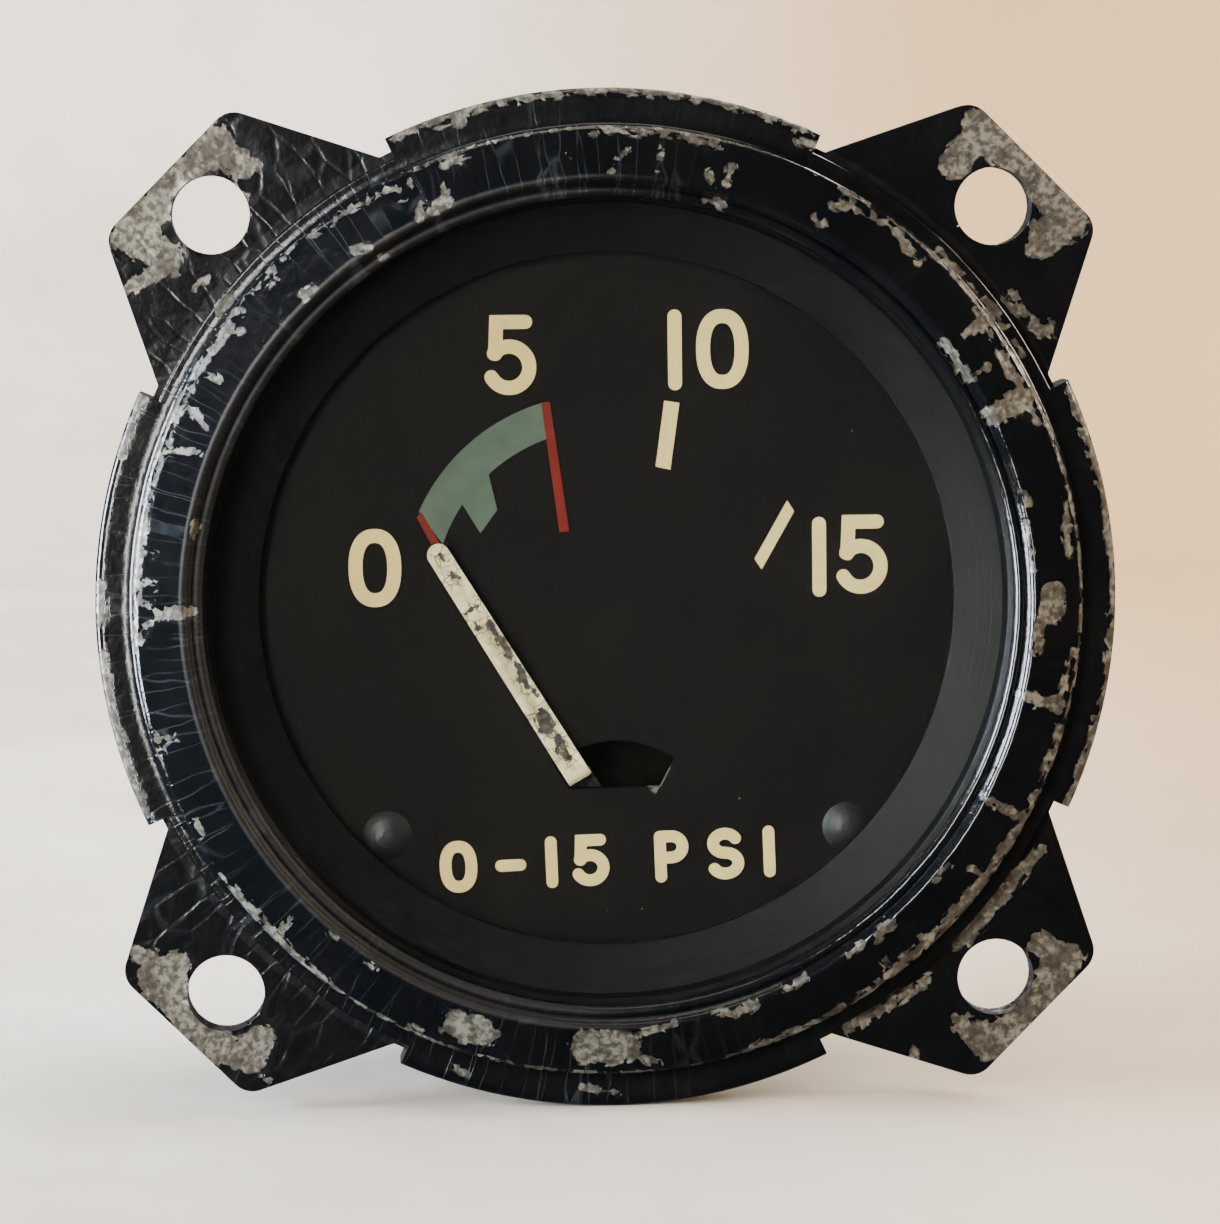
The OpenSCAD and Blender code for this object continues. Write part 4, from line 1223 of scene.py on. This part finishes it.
    def wear(self, angle: np.ndarray, radius: np.ndarray, height: np.ndarray) -> np.ndarray:
        """How far the ridges are worn: the shoulder, the crest and the outer edge of the tabs.

        Args:
            angle: Degrees clockwise from the top.
            radius: Distance from the axis.
            height: Distance before the ears' front.

        Returns:
            Millimetres to add to the depth of sound paint.
        """
        ridges = (self.shoulder_ridge, self.crest_ridge)
        on_shoulder, on_crest = (np.exp(-(((radius - r) / wide) ** 2)) for r, wide in ridges)
        worn = np.interp(angle, *zip(*self.shoulder_wear)) * on_shoulder
        worn *= smoothstep(*self.wear_above, height)
        return worn + on_crest * self.crest_wear + smoothstep(*self.rim, radius) * self.rim_wear

    def weather(self, obj: bpy.types.Object) -> None:
        """Draws chips, ripples and uneven paint into the bezel's corners.

        Args:
            obj: The bezel.
        """
        p = corners_mm(obj)
        radius, height = np.hypot(p[:, 0], p[:, 2]), self.ears_front - p[:, 1]
        angle = np.degrees(np.arctan2(p[:, 0], p[:, 2])) % 360
        depth = np.maximum(self.chips(angle, radius), self.sound + self.wear(angle, radius, height))
        # The underside keeps its paint
        under = smoothstep(self.base_low + 0.15, self.base_low, height)
        mark(obj, "bare", depth - under * 0.6)
        top = smoothstep(self.base_high - 0.2, self.base_high + 0.2, height) * (radius > self.even_to)
        out = np.array([v.normal for v in obj.data.vertices])
        high, wide, long = self.ripple
        round_it = p[:, [0, 2]] / radius[:, None] * BEZEL_RADIUS / wide
        polar = np.column_stack([round_it, radius / long])
        swell = self.swell[0] * noise_at(p, self.swell[1]) + high * noise_at(polar, 1.0)
        set_corners(obj, p + out * ((swell - chip_relief(depth)) * top)[:, None])


@dataclass
class Flange:
    """Square-eared flange plate, with paint rubbed off where screws and washers sat."""

    pitch: float = 0.5
    hole_at: float = 23.575
    # Corners before this place along Y are the front's, and the holes' rims inside this radius stay flat
    front_y: float = -1.99
    rim_r: float = 2.4
    # Behind the ears the paint is half gone up to this far from a hole's middle, where a nut sat
    nut_r: float = 4.4
    sound: float = -0.7
    # Rubbed strokes in each ear's own directions: out along its diagonal and across it, and width
    rubs: dict[Point, tuple[Stroke, ...]] = field(default_factory=lambda: {
        (-1, 1): (
            (36.0, -4.4, 36.1, 3.4, 2.1), (35.6, -4.2, 33.4, -3.7, 2.2), (35.9, 3.4, 34.0, 3.4, 1.7),
            (34.6, 3.7, 33.6, 3.9, 1.0), (34.0, -7.2, 33.3, -4.9, 0.85), (31.0, -4.0, 30.6, -2.2, 0.3),
        ),
        (1, 1): (
            (36.2, -4.1, 36.1, 4.1, 2.1), (35.6, -3.6, 33.5, -3.5, 2.0), (35.4, 3.7, 34.3, 3.6, 2.4),
            (34.2, 3.5, 33.4, 3.8, 1.5), (30.2, 4.4, 30.0, 7.6, 0.8), (30.6, 7.4, 30.6, 8.2, 0.6),
        ),
        (-1, -1): (
            (35.5, -5.6, 34.9, -4.6, 1.2), (35.2, -4.2, 34.0, -3.4, 1.6), (36.0, -3.6, 36.0, 2.2, 1.9),
            (35.2, -2.6, 34.4, -3.4, 1.7), (36.0, 2.0, 35.2, 4.0, 1.8), (35.2, 3.3, 33.9, 3.5, 1.8),
            (35.9, 5.6, 35.6, 5.8, 0.55),
        ),
        (1, -1): (
            (33.8, 3.4, 35.6, 3.7, 1.7), (35.8, 3.9, 36.1, 1.2, 2.1), (36.1, 1.4, 36.1, -3.2, 2.0),
            (36.0, -3.7, 33.8, -3.5, 1.3), (34.6, -3.1, 35.4, -2.7, 1.1), (29.8, 7.4, 30.3, -0.4, 0.95),
            (30.5, -3.0, 29.0, -8.6, 0.75), (33.5, -7.3, 32.9, -6.6, 0.6),
        ),
    })

    def build(self) -> None:
        """Builds the flange with its wear and hands it over."""
        obj = cut_copy("mounting_flange", "eared_flange", self.pitch, (Vector((1, 0, 0)), Vector((0, 0, 1))))
        p = corners_mm(obj)
        depth = np.full(len(p), self.sound)
        for (right, up), strokes in self.rubs.items():
            out = (p[:, 0] * right + p[:, 2] * up) / math.sqrt(2)
            aside = (p[:, 0] - p[:, 2] * right * up) / math.sqrt(2)
            depth = np.maximum(depth, stroke_depth(np.stack([out, aside], 1), strokes))
        front = p[:, 1] < self.front_y
        hole = np.hypot(np.abs(p[:, 0]) - self.hole_at, np.abs(p[:, 2]) - self.hole_at)
        rub = np.where(hole < self.nut_r, 0.0, self.sound)
        mark(obj, "bare", np.where(front, depth, rub))
        p[:, 1] += front * (hole > self.rim_r) * chip_relief(depth)
        set_corners(obj, p)
        hand_over(obj, Stock.CRACKLED, "case", "enamelled_steel", "mounting_flange")


@dataclass
class Case:
    """Drawn cup, its seals, and the glass with what holds it."""

    def build(self) -> None:
        """Dresses the case's nodes."""
        dress_nodes(Stock.CASE, "case_cup")
        dress_nodes(Stock.GLASS, "cover_glass")
        dress_nodes(Stock.RUBBER, "glass_gasket")
        dress_nodes(Stock.SPINNING, "spacer_ring")
        dress_nodes(Stock.FIBRE, "stem_seal")
        dress_nodes(Stock.STEEL, "stem_washer")
        dress_nodes(Stock.BRASS, "stem_nut")


class Glyph(Enum):
    """Round-ended strokes of plain figures in a box 1 wide and 1 high. No stroke stands for an oval."""

    ZERO = ()
    ONE = (((0.5, 0.0), (0.5, 1.0)),)
    FIVE = (
        ((0.9, 1.0), (0.1, 1.0), (0.06, 0.52)),
        tuple(ellipse_arc((0.44, 0.315), (0.56, 0.315), 138, -152, 28)),
    )
    DASH = (((0.0, 0.47), (1.0, 0.47)),)
    P = (
        ((0.0, 0.0), (0.0, 1.0)),
        (
            (0.0, 1.0), (0.5, 1.0), *ellipse_arc((0.5, 0.735), (0.5, 0.265), 84, -84, 14),
            (0.5, 0.47), (0.0, 0.47),
        ),
    )
    S = ((
        *ellipse_arc((0.5, 0.76), (0.46, 0.24), 28, 262, 18),
        *ellipse_arc((0.5, 0.26), (0.5, 0.26), 82, -150, 18),
    ),)


# Power and corners of a nought's oval, which is a little squarer than an ellipse
OVAL_POWER = 2.35
OVAL_CORNERS = 48
# A stroke's mitre grows no further once the cosine of half its bend is down to this
MITRE = 0.45
# Chords of a stroke's round end
CAP_CHORDS = 10


def stroke_sheet(line: np.ndarray, stroke: float, closed: bool) -> Sheet:
    """Widens a line into a flat stroke.

    Args:
        line: Points of the line.
        stroke: Its width.
        closed: True for a line that runs back into its start, and False for one with round ends.

    Returns:
        The stroke's corners and faces.
    """
    n = len(line)
    ahead = np.roll(line, -1, 0) - line
    if not closed:
        ahead[-1] = ahead[-2]
    ahead /= np.hypot(*ahead.T)[:, None]
    behind = np.roll(ahead, 1, 0)
    if not closed:
        behind[0] = ahead[0]
    mean = ahead + behind
    mean /= np.hypot(*mean.T)[:, None]
    reach = stroke / 2 / np.maximum((mean * ahead).sum(1), MITRE)
    side = np.stack([-mean[:, 1], mean[:, 0]], 1) * reach[:, None]
    points = [tuple(p) for p in line + side] + [tuple(p) for p in line - side]
    faces: list[tuple[int, ...]] = [(i, i + 1, n + i + 1, n + i) for i in range(n - 1)]
    if closed:
        return points, [*faces, (n - 1, 0, n, 2 * n - 1)]
    for end, way in ((0, -1), (n - 1, 1)):
        start = math.degrees(math.atan2(*side[end][::-1]))
        cap = arc(tuple(line[end]), stroke / 2, start, start - way * 180, CAP_CHORDS)[1:-1]
        ring = [end, *range(len(points), len(points) + len(cap)), n + end]
        points += cap
        faces.append(tuple(ring if way > 0 else ring[::-1]))
    return points, faces


def figure(glyph: Glyph, low: Point, size: Point, stroke: float, tilt: float = 0.0) -> list[Sheet]:
    """Draws one figure as flat strokes.

    Args:
        glyph: Which figure.
        low: Lowest corner of its outline, as x and z.
        size: Width and height of its outline.
        stroke: Width of its strokes.
        tilt: Degrees that it is turned anticlockwise about low.

    Returns:
        The sheet of each stroke.
    """
    box = np.array([max(size[0] - stroke, 0.0), size[1] - stroke])
    turns = np.linspace(0, 2 * math.pi, OVAL_CORNERS + 1)[:-1]
    oval = np.stack([np.cos(turns), np.sin(turns)], 1)
    oval = np.sign(oval) * np.abs(oval) ** (2 / OVAL_POWER) / 2 + 0.5
    lines = [np.array(path) for path in glyph.value] or [oval]
    turn = math.radians(tilt)
    spin = np.array([[math.cos(turn), math.sin(turn)], [-math.sin(turn), math.cos(turn)]])
    sheets = []
    for line in lines:
        points, faces = stroke_sheet(line * box + stroke / 2, stroke, not glyph.value)
        sheets.append(([tuple(p) for p in np.array(points) @ spin + low], faces))
    return sheets


@dataclass
class Dial:
    """Dial plate with its printed figures, arc and ticks, and the screws that hold it."""

    print_front: float = -0.03
    print_back: float = 0.01
    # How far the straight marks lie over the green
    over: float = 0.01
    figure_stroke: float = 0.85
    legend_stroke: float = 0.72
    legend_tilt: float = 1.7
    # Figure, lowest corner, width and height
    figures: tuple[tuple[str, tuple[tuple[Glyph, float, float, float, float], ...]], ...] = (
        ("figure_0", ((Glyph.ZERO, -15.7, -0.27, 3.2, 4.77),)),
        ("figure_5", ((Glyph.FIVE, -7.16, 12.51, 3.04, 4.84),)),
        ("figure_10", ((Glyph.ONE, 3.88, 12.66, 0.85, 4.9), (Glyph.ZERO, 5.6, 12.7, 3.2, 4.85))),
        ("figure_15", ((Glyph.ONE, 12.6, -0.09, 0.85, 4.9), (Glyph.FIVE, 14.2, 0.06, 3.02, 4.84))),
    )
    # Range of the scale in plain figures, in the place of the dial's words
    legend: tuple[tuple[Glyph, float, float], ...] = (
        (Glyph.ZERO, 0.0, 2.3), (Glyph.DASH, 3.4, 1.9), (Glyph.ONE, 6.5, 0.72), (Glyph.FIVE, 8.2, 2.2),
        (Glyph.P, 13.2, 2.1), (Glyph.S, 16.4, 2.3), (Glyph.ONE, 19.9, 0.72),
    )
    legend_low: Point = (-10.4, -17.95)
    legend_high: float = 3.2
    # Green range: arcs of its outer edge, and of its inner edge before and after its tick. Each has
    # its middle, radius, first and last angle and number of chords
    green_outer: Arc = ((-0.47, 0.46), 12.02, 106.3, 155.2, 30)
    green_inner: tuple[Arc, Arc] = (
        ((-0.2, 0.06), 10.34, 160.6, 146.2, 8), ((-0.2, 0.06), 10.31, 131.5, 108.8, 16),
    )
    green_tick: tuple[Point, ...] = ((-8.72, 5.9), (-7.66, 4.13), (-6.61, 5.54), (-7.1, 7.66))
    # Straight marks with their four corners
    bars: tuple[tuple[str, Stock, tuple[Point, ...]], ...] = (
        ("red_line_high", Stock.RED, ((-3.86, 12.02), (-3.34, 12.07), (-2.25, 4.18), (-2.84, 4.14))),
        ("red_line_low", Stock.RED, ((-11.52, 5.15), (-11.21, 5.49), (-10.18, 3.62), (-10.65, 3.5))),
        ("tick_10", Stock.CREAM, ((3.63, 12.04), (4.55, 11.89), (3.96, 7.83), (3.06, 8.04))),
        ("tick_15", Stock.CREAM, ((11.08, 5.85), (11.51, 5.19), (9.49, 1.65), (9.06, 2.31))),
    )

    def slab(self, name: str, sheets: Sequence[Sheet], stock: Stock, rise: float = 0.0) -> None:
        """Makes one printed mark and hands it over.

        Args:
            name: Name of the piece.
            sheets: Its flat parts.
            stock: The paint.
            rise: How far it lies over a mark that was printed first.
        """
        obj = flat_solid(name, sheets, self.print_front - rise, self.print_back)
        hand_over(obj, stock, "case", "pointer_cream" if stock is Stock.CREAM else None)

    def build(self) -> None:
        """Prints the dial and dresses its nodes."""
        dress_nodes(Stock.LACQUER, "dial_plate")
        dress_nodes(Stock.BLUED, "dial_screws")
        dress_nodes(Stock.BRASS, "dial_posts")
        for name, parts in self.figures:
            sheets = []
            for glyph, x, z, wide, high in parts:
                sheets += figure(glyph, (x, z), (wide, high), self.figure_stroke)
            self.slab(name, sheets, Stock.CREAM)
        self.print_legend()
        self.print_scale()

    def print_legend(self) -> None:
        """Prints the scale's range in the place of the words."""
        turn = math.radians(self.legend_tilt)
        sheets = []
        for glyph, x, wide in self.legend:
            low = (self.legend_low[0] + x * math.cos(turn), self.legend_low[1] + x * math.sin(turn))
            sheets += figure(glyph, low, (wide, self.legend_high), self.legend_stroke, self.legend_tilt)
        self.slab("range_legend", sheets, Stock.CREAM)

    def print_scale(self) -> None:
        """Prints the green arc with its tick, the red lines and the cream ticks."""
        before, after = (arc(*edge) for edge in self.green_inner)
        green = [*arc(*self.green_outer), *before, *self.green_tick, *after]
        self.slab("green_arc", [(green, [tuple(range(len(green)))])], Stock.GREEN)
        for name, stock, corners in self.bars:
            self.slab(name, [(list(corners), [(0, 1, 2, 3)])], stock, self.over)


@dataclass
class Pointer:
    """Bent strip pointer, whose cream paint has flaked in its middle."""

    pivot: Point = (0.5, -14.7)
    rest_angle: float = 31.4
    pitch: float = 0.12
    # Corners before this place along Y are the strip's front
    front_y: float = -0.85
    # Places along the strip where the paint starts, above the bend, and where its relief starts
    paint_from: float = 4.3
    relief_from: float = 4.5
    # Depths inside a flake: the least on the front, that of the strip's sides, and where no paint is
    sound: float = -0.8
    sides: float = -0.6
    unpainted: float = 0.6
    # Uneven paint: height and width of its lumps, and how deep a flake lies
    lumps: Point = (0.012, 0.5)
    flake_deep: float = 0.03
    # Flakes and stains: distance from the pivot and place across of each end, and width
    flakes: tuple[Stroke, ...] = (
        (8.3, 0.0, 8.9, 0.05, 1.0), (5.9, 0.15, 7.8, 0.22, 0.42), (6.5, -0.3, 6.7, -0.3, 0.2),
        (10.2, 0.5, 10.5, 0.5, 0.25), (11.0, 0.36, 12.3, 0.4, 0.45), (12.3, 0.44, 13.4, 0.46, 0.22),
        (13.4, 0.42, 15.3, 0.46, 0.45), (15.6, -0.35, 16.0, -0.35, 0.25), (16.7, -0.5, 16.8, 0.5, 0.12),
        (18.75, -0.4, 18.85, 0.3, 0.13), (18.85, 0.0, 19.3, 0.02, 0.12), (20.2, 0.2, 20.6, 0.1, 0.28),
    )
    stains: tuple[Stroke, ...] = (
        (9.4, -0.1, 15.4, 0.0, 0.7), (17.2, 0.1, 19.4, 0.0, 0.35), (5.2, 0.0, 8.0, 0.0, 0.4),
    )

    def build(self) -> None:
        """Builds the pointer with its flakes, and dresses what it sits on."""
        turn = math.radians(self.rest_angle)
        along = Vector((-math.sin(turn), 0, math.cos(turn)))
        across = Vector((math.cos(turn), 0, math.sin(turn)))
        obj = cut_copy("pointer", "flaked_pointer", self.pitch, (along, across))
        p = corners_mm(obj)
        flat = p[:, [0, 2]] - self.pivot
        place = np.stack([flat @ (along.x, along.z), flat @ (across.x, across.z)], 1)
        front = p[:, 1] < self.front_y
        depth = np.where(front, np.maximum(stroke_depth(place, self.flakes), self.sound), self.sides)
        depth = np.where(place[:, 0] < self.paint_from, self.unpainted, depth)
        mark(obj, "flake", depth)
        mark(obj, "stain", stroke_depth(place, self.stains))
        ripple = self.lumps[0] * noise_at(p, self.lumps[1]) - self.flake_deep * smoothstep(0.0, 0.12, depth)
        p[:, 1] -= np.where(front & (place[:, 0] > self.relief_from), ripple, 0)
        set_corners(obj, p)
        hand_over(obj, Stock.FLAKING, "pointer", "pointer_cream", "pointer")
        dress_nodes(Stock.BRASS, "pointer_hub", "crank")
        dress_nodes(Stock.STEEL, "pointer_staff", "crank_pin")


@dataclass
class Movement:
    """Curved tube, its tip and link, the frame that carries the staff, and the threaded stem."""

    stub_r: float = 5.1
    core_r: float = 4.5
    thread_pitch: float = 0.95
    thread_start: float = 31.25
    thread_end: float = 40.2
    # Chords of a ring, rings in a turn of the thread, and rings over which it fades at each end
    steps: int = 96
    rings_a_turn: int = 10
    fade_rings: tuple[int, int] = (8, 10)
    # Half the width of a tooth at its crest and at its foot, as shares of the pitch
    crest_half: float = 0.1625
    foot_half: float = 0.4125
    # The thread's sleeve reaches this far into the turned-down stub, and its root this far
    sleeve_in: float = 0.3
    root_in: float = 0.05

    def build(self) -> None:
        """Dresses the movement's nodes and cuts the stub's thread."""
        # The front plate is coloured near black: painted shade
        dress_nodes(Stock.BLACKENED, "front_plate")
        dress_nodes(Stock.SHEET_BRASS, "back_plate", "link")
        dress_nodes(Stock.BRASS, "frame_pillars", "pivot_bushes", "tube_tip", "restrictor_screw")
        dress_nodes(Stock.STEEL, "frame_screws", "block_screws", "tip_pin")
        dress_nodes(Stock.BRONZE, "bourdon_tube")
        self.socket()
        self.thread()

    def socket(self) -> None:
        """Copies the socket block with its stub turned down to the thread's root."""
        obj = cut_copy("socket_block", "stem_and_socket", 50, ())
        p = corners_mm(obj)
        radius = np.hypot(p[:, 0], p[:, 2])
        near = np.isclose(radius, self.stub_r, atol=0.03, rtol=0.0)
        p[np.ix_(near & (p[:, 1] > self.thread_start - 0.2), [0, 2])] *= self.core_r / self.stub_r
        set_corners(obj, p)
        hand_over(obj, Stock.BRASS, "case", "brass", "socket_block")

    def tooth(self, y: float, k: int) -> float:
        """Height of the thread at a place along it and a chord, from 0 at its root to 1 at its crest."""
        off = abs((y / self.thread_pitch + k / self.steps) % 1 - 0.5)
        return min(1.0, max(0.0, (self.foot_half - off) / (self.foot_half - self.crest_half)))

    def thread(self) -> None:
        """Cuts a rolled thread on the stub, which fades out at both ends."""
        root, sleeve = self.core_r - self.root_in, [self.core_r - self.sleeve_in] * self.steps
        length = self.thread_end - self.thread_start
        rows = math.ceil(length / (self.thread_pitch / self.rings_a_turn))
        rings = [(self.thread_start, sleeve)]
        for i in range(rows + 1):
            y = self.thread_start + length * i / rows
            high = min(1.0, i / self.fade_rings[0], (rows - i) / self.fade_rings[1]) * (self.stub_r - root)
            rings.append((y, [root + high * self.tooth(y, k) for k in range(self.steps)]))
        rings.append((self.thread_end, sleeve))
        turns = [2 * math.pi * k / self.steps for k in range(self.steps)]
        points = [(r * math.sin(t), y, r * math.cos(t)) for y, radii in rings for r, t in zip(radii, turns)]
        obj = from_faces("stub_thread", points, loft_faces(len(rings), self.steps, True), 50)
        hand_over(obj, Stock.BRASS, "case", "brass")


@dataclass(frozen=True)
class Lamp:
    """One soft lamp that points at the gauge: its place and size in metres, and its power in watts."""

    name: str
    place: tuple[float, float, float]
    size: Point
    power: float
    colour: str

    def hang(self) -> None:
        """Adds the lamp, which the camera doesn't see."""
        data = bpy.data.lights.new(self.name, "AREA")
        data.shape = "RECTANGLE"
        data.size, data.size_y = self.size
        data.energy = self.power
        data.color = linear(self.colour)[:3]
        obj = bpy.data.objects.new(self.name, data)
        turn = (-Vector(self.place)).to_track_quat("-Z", "Y").to_matrix().to_4x4()
        obj.matrix_world = Matrix.Translation(Vector(self.place)) @ turn
        obj.visible_camera = False
        bpy.context.scene.collection.objects.link(obj)


@dataclass
class Studio:
    """Round sweep of pale paper, a window to the left, soft room light, and the camera."""

    image_w: int = 1220
    focal_px: float = 4100.0
    tilts_deg: tuple[float, float, float] = (5.27, 3.19, 0.67)
    shift_mm: Point = (-0.10, 0.66)
    distance_mm: float = 249.4
    sensor_mm: float = 36.0
    plane_y: float = -2.0
    sweep_r: float = 520.0
    sweep_bend: float = 120.0
    sweep_high: float = 700.0
    # Rings of corners on the flat part, and how many corners each ring has
    flat_rings: tuple[float, ...] = (0.0, 60.0, 200.0)
    sides: int = 96
    lamps: tuple[Lamp, ...] = (
        Lamp("window", (-0.42, -0.05, 0.02), (0.2, 0.3), 14.0, "#e6efff"),
        Lamp("ceiling", (0.0, 0.05, 0.62), (0.5, 0.4), 2.0, "#fff3e2"),
        Lamp("bay", (-0.195, -0.405, 0.05), (0.08, 0.34), 3.0, "#fdf9f2"),
        Lamp("bulb", (0.38, -0.035, 0.18), (0.12, 0.12), 1.6, "#ffead6"),
        Lamp("room", (0.22, 0.34, 0.32), (0.4, 0.3), 4.5, "#fbf7f0"),
    )
    # Strength of the room's glow before the gauge and behind it
    room_glow: Point = (0.045, 0.3)

    def camera(self) -> None:
        """Puts the camera where the photograph was taken from."""
        a, b, c = (math.radians(t) for t in self.tilts_deg)
        turn = Matrix.Rotation(c, 3, "Z") @ Matrix.Rotation(a, 3, "X") @ Matrix.Rotation(b, 3, "Y")
        back = turn.transposed()
        to_frame = Matrix(((1, 0, 0), (0, 0, -1), (0, 1, 0)))
        where = back @ Vector((-self.shift_mm[0], -self.shift_mm[1], self.distance_mm))
        data = bpy.data.cameras.new("camera")
        data.sensor_width = self.sensor_mm
        data.lens = self.focal_px / self.image_w * self.sensor_mm
        data.clip_start = 0.01
        cam = bpy.data.objects.new("camera", data)
        axes = to_frame @ back
        place = (to_frame @ where + Vector((0, self.plane_y, 0))) * MM
        cam.matrix_world = Matrix.Translation(place) @ axes.to_4x4()
        bpy.context.scene.collection.objects.link(cam)
        bpy.context.scene.camera = cam

    def floor(self) -> None:
        """Lays the paper: a round floor that curves up into a wall on all sides.

        Gloss doesn't see it, so the enamel and the glass mirror only the lamps, as in a dark room.
        """
        low, flat = cad_box[0].z / MM, self.sweep_r - self.sweep_bend
        path = [(r, low) for r in (*self.flat_rings, flat)]
        path += arc((flat, low + self.sweep_bend), self.sweep_bend, -84, 0, 14)
        path.append((self.sweep_r, low + self.sweep_high))
        points = []
        for k in range(self.sides):
            turn = 2 * math.pi * k / self.sides
            points += [(r * math.sin(turn), -r * math.cos(turn), z) for r, z in path]
        obj = from_faces("paper_sweep", points, loft_faces(self.sides, len(path), False), 60)
        obj.data.materials.append(CreasedPaper().build())
        obj.visible_glossy = False
        obj.visible_transmission = False

    def build(self) -> None:
        """Sets up floor, lamps, room light and camera."""
        self.floor()
        for lamp in self.lamps:
            lamp.hang()
        world = bpy.data.worlds.new("room")
        room = Nodes(world)
        behind = {"Value": room.add(Kind.Y, {0: room.add(Kind.LOOKING)}), "From Min": -0.2, "From Max": 1.0}
        glow = room.add(Kind.STEP, behind | {"To Min": self.room_glow[0], "To Max": self.room_glow[1]})
        room.add(Kind.SKY_OUTPUT, {0: room.add(Kind.SKY, {"Color": "#d6d8dc", "Strength": glow})})
        bpy.context.scene.world = world
        self.camera()


def main() -> None:
    """Builds the gauge from the outside in, then the studio."""
    logging.basicConfig(level=logging.INFO, format="%(name)s: %(message)s")
    for part in (Bezel(), Flange(), Case(), Dial(), Pointer(), Movement(), Studio()):
        LOG.info("%s", type(part).__name__)
        part.build()


if __name__ == "__main__":
    main()
